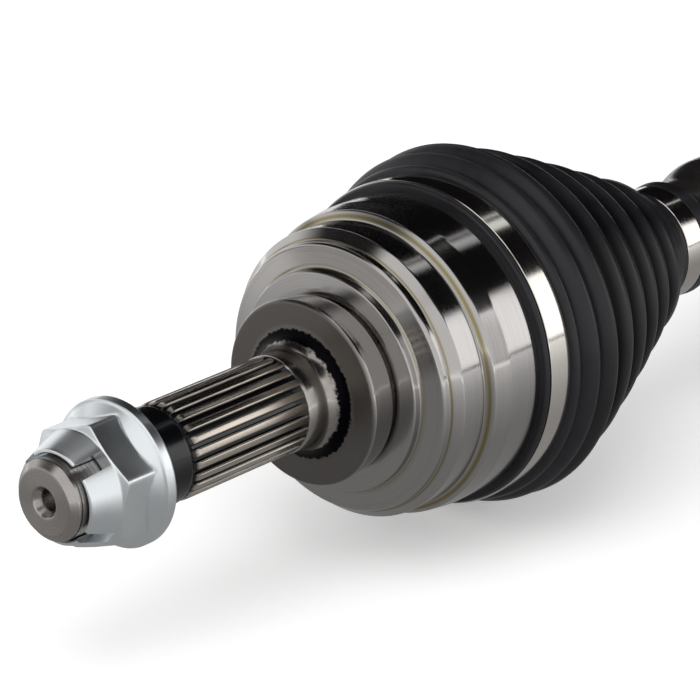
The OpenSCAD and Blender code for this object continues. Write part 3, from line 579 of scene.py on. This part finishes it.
# Axle nut: hexagon with a coned front, a slotted collar to lock it and a washer flange.
nut = {"front": -96.4, "rear": -71.9, "flats": 33.0, "turn": 41.1, "slots": 4, "slotTurn": 42.5, "slotWidth": 4.7,
       "slotLength": 8.4, "bore": 12.06, "collarFront": 13.46, "collarRear": 16.2, "collarLength": 8.6,
       "chamfer": 1.0, "rim": 21.0, "rimLength": 3.6, "coneLength": 3.0, "segments": 400}


def makeNut(n):
    length = n["rear"] - n["front"]

    def fine(a, b, gap):
        return list(np.arange(a, b - gap / 2, gap))

    depth = fine(0, 0.7, 0.14) + fine(0.7, 8.0, 0.45) + fine(8.0, 10.2, 0.11) + fine(10.2, 16.6, 0.5)
    depth = np.array(depth + fine(16.6, 22.2, 0.12) + fine(22.2, 23.6, 0.45) + fine(23.6, length, 0.15) + [length])
    slotPitch, half = 360 / n["slots"], n["slotWidth"] / 2
    across = np.arange(n["segments"]) / n["segments"] * n["slots"] % 1 * 2 - 1      # -1 to 1 over one slot's share
    block = np.arange(n["segments"]) * n["slots"] // n["segments"]
    slotCells = 0.28                                                                # share of columns in the slot
    inSlot = np.abs(across) <= slotCells + 1e-9

    def columnAngle(radius):
        edge = np.degrees(np.arcsin(half / radius))
        outer = edge + (np.abs(across) - slotCells) / (1 - slotCells) * (slotPitch / 2 - edge)
        off = np.where(inSlot, np.abs(across) / slotCells * edge, outer) * np.sign(across)
        return n["slotTurn"] + block * slotPitch + off

    def softMax(a, b, k):
        return np.maximum(a, b) + np.maximum(k - np.abs(a - b), 0) ** 2 / (4 * k)

    def outline(u, degrees):
        off = (degrees - n["turn"]) % 60 - 30
        flat = n["flats"] / 2 / np.cos(np.radians(off))
        flat = -softMax(-flat, -(n["flats"] / 2 / math.cos(math.pi / 6) - 0.1) * np.ones_like(flat), 0.7)
        collar = np.interp(u, [0, 0.14, 0.35, 0.7, n["collarLength"], 12],
                           [n["collarFront"] - 0.75, n["collarFront"] - 0.35, n["collarFront"] - 0.08,
                            n["collarFront"] + 0.05, n["collarRear"], n["collarRear"] + 0.1])
        cone = n["flats"] / 2 - 0.4 + (u - n["collarLength"]) / n["chamfer"] * 2.96
        hexagon = -softMax(-flat, -cone * np.ones_like(flat), 0.5)
        body = softMax(collar * np.ones_like(flat), hexagon, 0.5 if u < 10 else 0.01)
        rimStart = length - n["rimLength"]
        flange = np.interp(u, [rimStart - n["coneLength"], rimStart - 0.15, rimStart + 0.1, rimStart + 0.35,
                               length - 0.8, length - 0.3, length],
                           [16.2, n["rim"] - 0.9, n["rim"] - 0.3, n["rim"], n["rim"], n["rim"] - 0.2,
                            n["rim"] - 0.6])
        if u < rimStart - n["coneLength"]:
            return body
        seam = 0.45 * np.exp(-((flat - flange - 0.25) / 0.28) ** 2)
        return np.maximum(body, flange) - seam

    count, rows = n["segments"], len(depth)
    outer = np.zeros((rows, count, 3))
    inner = np.zeros((rows, count, 3))
    for i, u in enumerate(depth):
        radius = 15.0 * np.ones(count)
        for _ in range(4):
            radius = outline(u, columnAngle(radius))
        bore = n["bore"] + max(0, 0.6 - u) * 0.8 + max(0, u - length + 0.9) * 0.8
        for target, r in ((outer, radius), (inner, np.full(count, bore))):
            a = np.radians(columnAngle(r))
            target[i] = np.stack([np.full(count, n["front"] + u), r * np.cos(a), r * np.sin(a)], -1)
    # the collar is open in its slots, so the wall is there only outside them
    cellOpen = inSlot & np.roll(inSlot, -1)
    solid = np.array([[not (cellOpen[j] and depth[i] < n["slotLength"] - 0.05) for j in range(count)]
                      for i in range(rows - 1)])
    points = np.concatenate([outer.reshape(-1, 3), inner.reshape(-1, 3)]) * mm
    shift, faces = rows * count, []
    for i in range(rows - 1):
        for j in range(count):
            if not solid[i, j]:
                continue
            a, b = i * count + j, i * count + (j + 1) % count
            c, d = b + count, a + count
            faces += [(a, b, c, d), (a + shift, d + shift, c + shift, b + shift)]
            if i == 0 or not solid[i - 1, j]:
                faces.append((a, a + shift, b + shift, b))
            if i == rows - 2:
                faces.append((d, c, c + shift, d + shift))
            if not solid[i, j - 1]:
                faces.append((a, d, d + shift, a + shift))
            if not solid[i, (j + 1) % count]:
                faces.append((b, b + shift, c + shift, c))
    used = sorted({v for f in faces for v in f})
    renumber = {v: k for k, v in enumerate(used)}
    piece = meshFrom("axleNutForged", points[used].tolist(), [[renumber[v] for v in f] for f in faces], zinc, 32)
    return attach(piece, "nut", "zinc_nut", "axle_nut")


makeNut(nut)
print("nut made")

# Boots. The profile's base line has no pleats: the tree lays them in between the first crest and the last.
outerBoot = {"firstCrest": 75.8, "pleatedLength": 67.2, "crests": 6, "lastSpacing": 0.94, "depth": 5.6,
             "roundness": 0.5, "firstRadius": 54.2, "lastRadius": 27.0, "fullness": 1.1, "wall": 2.4,
             "bendStart": 60.0, "bendEnd": 132.0}        # places along the boot, near the joint


def bootProfile(front, b, back, inside):
    outer = [(b["firstCrest"] + b["pleatedLength"] * t,
              b["firstRadius"] + (b["lastRadius"] - b["firstRadius"]) * t ** b["fullness"])
             for t in np.linspace(0, 1, 230)]
    line = front + outer[1:-1] + back + [(x, r - b["wall"]) for x, r in outer[::-1]] + inside
    return [(r * mm, x * mm, 0) for x, r in line]


def growBoot(name, profile, b, segments=168):
    piece = loopPiece(name, profile, rubber)
    return grow(piece, pleatedBoot, {
        "First Crest": b["firstCrest"] * mm, "Pleated Length": b["pleatedLength"] * mm, "Crests": float(b["crests"]),
        "Last Spacing": b["lastSpacing"], "Pleat Depth": b["depth"] * mm, "Crest Roundness": b["roundness"],
        "Segments": segments, "Material": rubber}, 40)


# A lip, the clamp's seat, a bead behind the clamp and a low first pleat before the full ones.
outerFront = rounded([(50.4, 45.82), (50.4, 48.1), (51.2, 48.7), (51.9, 48.6), (52.0, 48.25), (60.7, 48.25),
                      (60.9, 50.0)], 0.3) + [
    (61.4, 50.8), (62.3, 51.1), (63.2, 50.9), (64.0, 50.1), (64.7, 49.6), (65.4, 50.6), (66.3, 52.2), (67.3, 53.2),
    (68.3, 53.5), (69.3, 53.2), (70.3, 52.2), (71.2, 50.7), (71.9, 50.3), (72.6, 51.4), (73.6, 53.0), (74.6, 53.9),
    (75.8, 54.2)]
outerBack = [(143.0, 27.0), (144.6, 26.6), (146.2, 25.5), (147.6, 23.8), (149.2, 22.6), (150.8, 22.4),
             (152.2, 21.8), (153.5, 20.4)] + rounded(
    [(155.5, 19.0), (158.0, 18.2), (160.0, 18.1), (160.3, 17.22), (168.7, 17.22), (169.0, 18.1), (173.2, 18.5),
     (174.0, 17.4), (174.0, 14.82), (157.0, 14.82), (153.0, 17.8), (148.5, 20.6), (145.5, 23.8)], 0.4)
boot = growBoot("outerJointBoot", bootProfile(
    outerFront, outerBoot, outerBack, [(73.0, 51.2), (71.0, 48.0), (68.5, 50.8), (66.5, 49.6), (64.5, 46.6),
                                       (63.0, 45.82)]), outerBoot)
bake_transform(attach(boot, None, "boot_rubber", "outer_boot"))
print("outer boot made")

# The inner boot runs from the cup back to the shaft, in two pieces that meet in a valley.
innerBoot = {"firstCrest": 445.0, "pleatedLength": -38.0, "crests": 5, "lastSpacing": 0.8, "depth": 4.5,
             "roundness": 0.55, "firstRadius": 46.0, "lastRadius": 28.0, "wall": 2.4, "split": 0.553,
             "bendStart": 410.0, "plungeEnd": 452.0}


def innerBase(b, x, inset=0.0):
    return b["firstRadius"] + (b["lastRadius"] - b["firstRadius"]) * (x - b["firstCrest"]) / b["pleatedLength"] - inset


def makeInnerBoot(b):
    middle = b["firstCrest"] + b["pleatedLength"] * b["split"]
    last = b["firstCrest"] + b["pleatedLength"]
    cupSide, neckSide = np.linspace(b["firstCrest"], middle, 130), np.linspace(middle, last, 130)
    cup = rounded([(468.7, 40.45), (468.7, 42.4), (468.1, 43.7), (466.8, 43.7), (466.5, 42.8), (454.0, 42.8),
                   (453.7, 44.2), (451.5, 45.0)], 0.4) + [(449.0, 45.6), (447.0, 45.9)]
    cup += [(x, innerBase(b, x)) for x in cupSide] + [(x, innerBase(b, x, b["wall"])) for x in cupSide[::-1]]
    cup += [(449.0, 43.0), (451.7, 40.45)]
    neck = [(x, innerBase(b, x)) for x in neckSide]
    neck += [(404.0, 26.0), (402.0, 22.5)] + rounded(
        [(400.5, 19.0), (397.5, 18.2), (395.0, 18.1), (394.7, 17.22), (386.3, 17.22), (386.0, 18.1), (381.8, 18.1),
         (381.0, 17.2), (381.0, 14.82), (398.0, 14.82), (401.0, 17.5), (404.0, 22.0)], 0.4)
    neck += [(x, innerBase(b, x, b["wall"])) for x in neckSide[::-1]]
    wide = growBoot("innerBootCupHalf", [(r * mm, x * mm, 0) for x, r in cup], b, 144)
    slim = growBoot("innerBootNeckHalf", [(r * mm, x * mm, 0) for x, r in neck], b, 144)
    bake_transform(attach(wide, None, "boot_rubber", "inner_boot"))
    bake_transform(attach(slim, None, "boot_rubber", "inner_boot"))


makeInnerBoot(innerBoot)
print("inner boot made")

# Clamp bands. Each is one strip of steel bent round the boot, with a raised ear that was squeezed to tighten it.
clampBands = [
    {"name": "outerLargeBand", "node": "outer_boot_large_clamp", "body": "outer_joint", "x": 52.05, "width": 8.6,
     "radius": 48.28, "turn": 215},
    {"name": "outerSmallBand", "node": "outer_boot_small_clamp", "body": "shaft", "x": 160.5, "width": 8.0,
     "radius": 17.25, "turn": 215},
    {"name": "innerLargeBand", "node": "inner_boot_large_clamp", "body": "inner_joint", "x": 454.3, "width": 12.0,
     "radius": 42.85, "turn": 35},
    {"name": "innerSmallBand", "node": "inner_boot_small_clamp", "body": "shaft", "x": 386.5, "width": 8.0,
     "radius": 17.25, "turn": 35}]
strip = {"thick": 0.82, "earLength": 7.0, "earHeight": 2.9, "earShare": 0.72, "tail": 38}


# Sweeps the strip's section along a flat path of (across, out, width share) points.
def sweepStrip(path, closed, x0, width, thick, turn):
    section = [(-0.5, 0.2), (-0.5, 0.8), (-0.48, 1.0), (-0.455, 1.0), (0.455, 1.0), (0.48, 1.0), (0.5, 0.8), (0.5, 0.2),
               (0.47, 0.0), (-0.47, 0.0)]
    count, points = len(path), []
    for i, (a, b, share) in enumerate(path):
        before = path[(i - 1) % count] if closed or i else path[i]
        after = path[(i + 1) % count] if closed or i < count - 1 else path[i]
        along = Vector((after[0] - before[0], after[1] - before[1])).normalized()
        out = Vector((-along.y, along.x))
        for w, h in section:
            p = Vector((a, b)) + out * (h * thick)
            angle = math.radians(-turn)
            points.append(((x0 + width * (0.5 + w * share)) * mm,
                           (p.x * math.cos(angle) + p.y * math.sin(angle)) * mm,
                           (p.y * math.cos(angle) - p.x * math.sin(angle)) * mm))
    size = len(section)
    faces = ringFaces(count, size, closed)
    if not closed:
        faces += [tuple(range(size)), tuple((count - 1) * size + j for j in range(size))]
    return points, faces


def makeBand(c, s):
    r, foot = c["radius"], s["earLength"] / 2
    reach = math.degrees(math.asin((foot + 1.0) / r))
    # angles run against the clock from the ear, and the path is walked so that out is away from the shaft
    ring = [(r * math.sin(t), r * math.cos(t), 1.0) for t in np.radians(np.linspace(360 - reach, reach, 200))]
    low, high, side = r - 0.1, r + s["earHeight"] - s["thick"], s["earShare"]
    ear = [(foot + 0.25, low + 0.15), (foot, low + 0.6), (foot - 0.1, high - 0.7), (foot - 0.7, high - 0.1),
           (foot - 1.6, high + 0.05), (0, high - 0.15), (-foot + 1.6, high + 0.05), (-foot + 0.7, high - 0.1),
           (-foot + 0.1, high - 0.7), (-foot, low + 0.6), (-foot - 0.25, low + 0.15)]
    path = ring + [(a, b, side if abs(a) < foot + 0.1 else (1 + side) / 2) for a, b in ear]
    points, faces = sweepStrip([(-a, b, w) for a, b, w in path], True, c["x"], c["width"], s["thick"], c["turn"])
    tail = [((r + s["thick"] * k) * math.sin(t), (r + s["thick"] * k) * math.cos(t), w) for t, k, w in
            zip(np.radians(np.linspace(reach + s["tail"], reach + 4, 24)), [0.3] + [1.0] * 23,
                [0.55, 0.6, 0.8] + [0.86] * 21)]
    more, moreFaces = sweepStrip([(-a, b, w) for a, b, w in tail], False, c["x"], c["width"], s["thick"] * 0.9,
                                 c["turn"])
    shift = len(points)
    faces += [tuple(v + shift for v in f) for f in moreFaces]
    piece = meshFrom(c["name"], points + more, faces, bandSteel, 36)
    return attach(piece, c["body"], "stainless_band", c["node"])


for band in clampBands:
    makeBand(band, strip)
print("clamps made")


# Mid shaft: a tube swaged down at both ends, painted black, with plain ends at the spline's radius, grooved for
# their rings, inside the races.
def wave(x0, r0, x1, r1, steps=14):
    return [(x0 + (x1 - x0) * k / steps, r0 + (r1 - r0) * (1 - math.cos(math.pi * k / steps)) / 2)
            for k in range(steps + 1)]


midShaft = {"start": 24.5, "end": 505.5, "spline": 13.0, "seat": 14.8, "swage": 16.8, "step": 20.0, "tube": 28.0,
            "grooves": (25.2, 53.0, 476.2, 502.0), "grooveRadius": 11.9, "before": 0.05, "after": 1.85}


def makeShaft(m):
    spline, seat, swage, step, tube = (m[key] for key in ("spline", "seat", "swage", "step", "tube"))

    def groove(x):
        start, end = x - m["before"], x + m["after"]
        return [(start, spline), (start, m["grooveRadius"]), (end, m["grooveRadius"]), (end, spline)]

    line = [(m["start"], 0), (m["start"], spline - 1), (m["start"] + 0.6, spline)]
    line += groove(m["grooves"][0]) + groove(m["grooves"][1])
    line += [(153, spline), (156, seat), (174.5, seat), (175.2, 15.2), (176.6, 16.5), (177.8, swage), (181.5, swage)]
    line = rounded(line, 0.25) + wave(182, swage, 198, step) + wave(204, step, 238, tube) + wave(322, tube, 356, swage)
    tail = [(376, swage), (379, seat), (399, seat), (402, spline)] + groove(m["grooves"][2]) + groove(m["grooves"][3])
    line += rounded(tail + [(m["end"] - 1, spline), (m["end"], spline - 1), (m["end"], 0)], 0.25)
    return attach(turned("swagedTubeShaft", line, shaftPaint, 224), "shaft", "shaft_steel", "tube_shaft")


makeShaft(midShaft)
print("mid shaft made")

# Housing of the inner joint: a cup with six straight tracks, an oil seal journal and a short splined stub.
housing = {"mouth": 452.0, "floor": 528.0, "bore": 31.5, "pitch": 28.0, "track": 8.56, "balls": 6,
           "stubRoot": 12.9, "stubCrest": 14.2, "teeth": 24, "teethStart": 566.6, "teethEnd": 596.6,
           "ringGroove": (591.9, 593.9)}


def straightTracks(spec):
    def shape(x, radius, angle):
        step = 2 * math.pi / spec["balls"]
        off = (angle + step / 2) % step - step / 2
        aside = spec["track"] ** 2 - (spec["pitch"] * np.sin(off)) ** 2
        depth = spec["pitch"] * np.cos(off) + np.sqrt(np.maximum(aside, 0))
        cut = spec["cavity"][:, None] & (radius > 5) & (x < spec["floor"] - 2.5) & (aside > 0) & (np.abs(off) < 0.4)
        return np.where(cut & (depth > radius), depth, radius)
    return shape


def makeHousing(h):
    outside = [(h["mouth"], 32.9), (h["mouth"], 39.4), (h["mouth"] + 1, 40.4), (469.6, 40.4), (470.1, 41.0),
               (500.0, 41.0), (500.6, 40.6), (501.6, 40.6), (502.2, 41.0), (531.0, 41.0), (534.5, 39.5),
               (536.4, 36.5), (537.0, 33.0), (537.8, 30.6), (538.6, 30.0), (542.0, 30.0), (543.0, 29.0), (543.0, 20.6),
               (543.5, 20.0), (565.5, 20.0), (567.0, 18.5), (567.0, 12.9), (591.8, 12.9), (591.9, 11.9),
               (593.9, 11.9), (594.0, 12.9), (596.2, 12.9), (597.0, 12.2), (597.0, 5.6), (591.5, 2.6), (590.8, 0)]
    # the bore runs from the floor to the groove of the mouth's wire ring
    bore = [(h["floor"], 0), (527.9, 12.0), (527.9, 30.9), (527.4, h["bore"]), (525.4, h["bore"])]
    bore += [(x, h["bore"]) for x in np.linspace(524, 459, 6)]
    bore += [(458.1, h["bore"]), (456.9, 32.7), (454.9, 32.7), (454.8, 31.6), (453.6, 31.6)]
    line = bore + rounded(outside, 0.4)
    h["cavity"] = np.arange(len(line)) < len(bore)
    piece = turned("plungingJointCup", line, housingSteel, 288, straightTracks(h))
    attach(piece, "inner_joint", "hardened_steel", "inner_housing")
    teeth = toothPiece("gearboxSplineTeeth", h["teethStart"], h["teethEnd"], h["stubRoot"], h["stubCrest"],
                       h["teeth"], 0.4, 2.4, splineSteel("hobbedStubSteel", h["stubRoot"], h["stubCrest"]))
    # the circlip's groove is cut through the teeth, so they stop at each side of it
    bm = bmesh.new()
    bm.from_mesh(teeth.data)
    start, end = (place * mm for place in h["ringGroove"])
    for place in (start, end):
        bmesh.ops.bisect_plane(bm, geom=bm.verts[:] + bm.edges[:] + bm.faces[:], plane_co=(place, 0, 0),
                               plane_no=(1, 0, 0), dist=1e-7)
    gone = [f for f in bm.faces if start < f.calc_center_median().x < end]
    bmesh.ops.delete(bm, geom=gone, context="FACES")
    bmesh.ops.holes_fill(bm, edges=[e for e in bm.edges if e.is_boundary], sides=0)
    bm.to_mesh(teeth.data)
    bm.free()
    finishMesh(teeth.data, 40)
    attach(teeth, "inner_joint", "hardened_steel", "inner_housing")


makeHousing(housing)
print("inner joint made")

# Races, cages, balls and rings keep their CAD meshes and get their finish here.
keptNodes = {"outer_cage": springSteel, "inner_cage": springSteel, "outer_balls": ballSteel, "inner_balls": ballSteel,
             "outer_inner_race": groundSteel, "inner_inner_race": groundSteel, "outer_end_ring": springSteel,
             "outer_stop_ring": springSteel, "inner_stop_ring": springSteel, "inner_end_ring": springSteel,
             "inner_mouth_ring": springSteel, "gearbox_snap_ring": springSteel}
for name, material in keptNodes.items():
    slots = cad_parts[name].material_slots
    for item in slots:
        item.material = material
print("inner pieces finished")

# Studio
studio = {"floorHeight": -0.0546, "floorSize": 6.0, "floorGlow": 0.35, "glowReach": (0.5, 1.4), "lens": 182.69,
          "sensor": 36.0, "aim": (0.03, 0, 0), "tableEnds": (-1.2, 1.8), "tableLift": 0.0004, "tableHalf": 0.9,
          "tableShades": [(0, "#8f8f8f"), (0.09, "#939393"), (0.11, "#9f9f9f"), (0.17, "#bcbcbc"),
                          (0.35, "#e6e6e6")]}
look = {"place": (-0.6893, -0.6197, 0.3762), "right": (0.6573, -0.7536, 0.0), "up": (0.2748, 0.2397, 0.9311)}
right, up = Vector(look["right"]).normalized(), Vector(look["up"]).normalized()
camera = bpy.data.cameras.new("camera")
camera.lens, camera.sensor_width = studio["lens"], studio["sensor"]
camera.clip_start, camera.clip_end = 0.05, 20
viewer = bpy.data.objects.new("camera", camera)
turn = Matrix((right, up, right.cross(up))).transposed().to_4x4()
viewer.matrix_world = Matrix.Translation(look["place"]) @ turn
scene.collection.objects.link(viewer)
scene.camera = viewer


# Colour seen directly and in gloss, and another for the light that it gives to matt surfaces.
def backgroundMix(tree, seen, lit):
    path = addNode(tree, "ShaderNodeLightPath").outputs
    direct = maths(tree, "MAXIMUM", path["Is Camera Ray"], path["Is Glossy Ray"])
    direct = maths(tree, "MAXIMUM", direct, path["Is Transmission Ray"])
    return addNode(tree, "ShaderNodeMixShader", {"Fac": direct, 1: lit, 2: seen})


def makeWorld():
    world = bpy.data.worlds.new("studioWorld")
    world.use_nodes = True
    tree = world.node_tree
    tree.nodes.clear()
    seen = addNode(tree, "ShaderNodeBackground", {"Color": "#ffffff", "Strength": 1.0})
    lit = addNode(tree, "ShaderNodeBackground", {"Color": "#ffffff", "Strength": 0.55})
    addNode(tree, "ShaderNodeOutputWorld", {"Surface": backgroundMix(tree, seen, lit)})
    scene.world = world


def makeFloor(s):
    half = s["floorSize"] / 2
    corners = [(-half, -half, s["floorHeight"]), (half, -half, s["floorHeight"]), (half, half, s["floorHeight"]),
               (-half, half, s["floorHeight"])]
    material, tree = emptyMaterial("paleFloor")
    matt = addNode(tree, "ShaderNodeBsdfDiffuse", {"Color": "#f4f4f4"})
    # the lamps fade with distance, so the floor glows more towards the horizon and stays white there
    away = addNode(tree, "ShaderNodeVectorMath", {0: addNode(tree, "ShaderNodeTexCoord").outputs["Object"]},
                   operation="LENGTH").outputs["Value"]
    near, far = s["glowReach"]
    strength = mapRange(tree, away, near, far, s["floorGlow"], 1.0, "SMOOTHSTEP")
    glow = addNode(tree, "ShaderNodeEmission", {"Color": "#ffffff", "Strength": strength})
    both = addNode(tree, "ShaderNodeAddShader", {0: matt, 1: glow})
    addNode(tree, "ShaderNodeOutputMaterial", {"Surface": backgroundMix(tree, both, matt)})
    meshFrom("floor", corners, [(0, 1, 2, 3)], material)


# A plane that faces the shaft from a direction, given by azimuth from +X, elevation and distance in metres.
def facingPlace(azimuth, elevation, distance):
    a, e = math.radians(azimuth), math.radians(elevation)
    away = Vector((math.cos(a) * math.cos(e), math.sin(a) * math.cos(e), math.sin(e)))
    place = away * distance + Vector(studio["aim"])
    return Matrix.Translation(place) @ away.to_track_quat("Z", "Y").to_matrix().to_4x4()


lamps = [
    {"name": "softbox", "azimuth": -42, "elevation": 14, "distance": 1.3, "size": (0.56, 0.66), "power": 1.9},
    {"name": "topLamp", "azimuth": -150, "elevation": 70, "distance": 1.6, "size": (1.2, 1.2), "power": 8.0},
    {"name": "leftLamp", "azimuth": 170, "elevation": 30, "distance": 1.6, "size": (0.9, 0.9), "power": 5.0}]
for lamp in lamps:
    light = bpy.data.lights.new(lamp["name"], "AREA")
    light.shape, light.size, light.size_y, light.energy = "RECTANGLE", lamp["size"][0], lamp["size"][1], lamp["power"]
    holder = bpy.data.objects.new(lamp["name"], light)
    holder.matrix_world = facingPlace(lamp["azimuth"], lamp["elevation"], lamp["distance"])
    holder.visible_glossy = lamp["name"] == "softbox"
    scene.collection.objects.link(holder)

# Flags: curved cards seen only in gloss, as a photographer hangs them round polished metal for contrast.
# Each spans azimuths and elevations, and its edges fade over a share of the half width and of the half height.
flags = [
    {"name": "flagBack", "azimuths": (3, 56), "elevations": (0, 90), "distance": 1.1, "fade": (0.08, 0.04),
     "colour": "#100f11"},
    {"name": "flagTop", "azimuths": (-66, 4), "elevations": (28.6, 90), "distance": 1.1, "fade": (0.08, 0.03),
     "colour": "#121113"},
    {"name": "flagShaft", "azimuths": (-29, 5), "elevations": (-14, 32), "distance": 1.12, "fade": (0.08, 0.1),
     "colour": "#131214"},
    {"name": "flagLeft", "azimuths": (54, 168), "elevations": (16, 100), "distance": 1.14, "fade": (0.4, 0.5),
     "colour": "#262424"},
    {"name": "softboxFrame", "azimuths": (-57, -28), "elevations": (-2, 31), "distance": 1.4, "fade": (0.03, 0.03),
     "colour": "#141416"},
    {"name": "wallLeft", "azimuths": (98, 172), "elevations": (-14, 14), "distance": 1.3, "fade": (0.25, 0.3),
     "colour": "#b4b2b0"},
    {"name": "flagOver", "azimuths": (-150, -60), "elevations": (38, 90), "distance": 1.16, "fade": (0.25, 0.3),
     "colour": "#2a2a2c"},
    {"name": "stripLight", "azimuths": (-8, -0.5), "elevations": (40, 54), "distance": 1.05, "fade": (0.2, 0.2),
     "colour": "#f0f5f4"}]


def cardMaterial(name, colour, fade):
    material, tree = emptyMaterial(name)
    across = addNode(tree, "ShaderNodeSeparateXYZ", {0: addNode(tree, "ShaderNodeUVMap")})
    opacity = None
    for axis, soft in zip("XY", fade):
        edge = maths(tree, "ABSOLUTE", maths(tree, "SUBTRACT", across.outputs[axis], 0.5))
        share = mapRange(tree, edge, 0.5, 0.5 * (1 - soft), curve="SMOOTHSTEP")
        opacity = share if opacity is None else maths(tree, "MULTIPLY", opacity, share)
    card = addNode(tree, "ShaderNodeEmission", {"Color": colour, "Strength": 1.0})
    gone = addNode(tree, "ShaderNodeBsdfTransparent")
    addNode(tree, "ShaderNodeOutputMaterial", {"Surface": addNode(tree, "ShaderNodeMixShader", {
        "Fac": opacity, 1: gone, 2: card})})
    return material


# Lays a grid of points as a card with its own UV map, and shows it only in gloss.
def glossCard(name, rows, material):
    count, width = len(rows), len(rows[0])
    faces = [(i * width + j, i * width + j + 1, (i + 1) * width + j + 1, (i + 1) * width + j)
             for i in range(count - 1) for j in range(width - 1)]
    mesh = bpy.data.meshes.new(name)
    mesh.from_pydata([tuple(p) for row in rows for p in row], [], faces)
    layer = mesh.uv_layers.new(name="UVMap")
    for loop in mesh.loops:
        layer.data[loop.index].uv = (loop.vertex_index % width / (width - 1), loop.vertex_index // width / (count - 1))
    card = newObject(name, mesh, material)
    card.visible_camera = card.visible_diffuse = card.visible_shadow = card.visible_transmission = False


for flag in flags:
    rows = [[facingPlace(azimuth, elevation, flag["distance"]).translation
             for azimuth in np.linspace(*flag["azimuths"], 24)] for elevation in np.linspace(*flag["elevations"], 24)]
    glossCard(flag["name"], rows, cardMaterial(flag["name"], flag["colour"], flag["fade"]))


# A card seen only in gloss stands for the table below the shaft. Painted shade makes it grey near the axis,
# where the shaft's shadow falls, and paler further out.
def makeTableCard(s):
    material, tree = emptyMaterial("tableCard")
    radius = shaftCoordinates(tree)[2]
    shade = addNode(tree, "ShaderNodeValToRGB", {"Fac": mapRange(tree, radius, 0.0, s["tableHalf"])})
    ramp = shade.color_ramp
    for distance, colour in s["tableShades"]:
        stop = ramp.elements[0] if distance == 0 else ramp.elements.new(distance / s["tableHalf"])
        stop.color = linearColour(colour)
    ramp.elements[-1].color = linearColour("#ffffff")
    addNode(tree, "ShaderNodeOutputMaterial", {"Surface": addNode(tree, "ShaderNodeEmission", {
        "Color": shade.outputs["Color"], "Strength": 1.0})})
    half, height = s["tableHalf"], s["floorHeight"] + s["tableLift"]
    glossCard("tableCard", [[(x, y, height) for x in s["tableEnds"]] for y in (-half, half)], material)


makeWorld()
makeFloor(studio)
makeTableCard(studio)
scene.view_settings.view_transform = "Standard"
print("studio made")
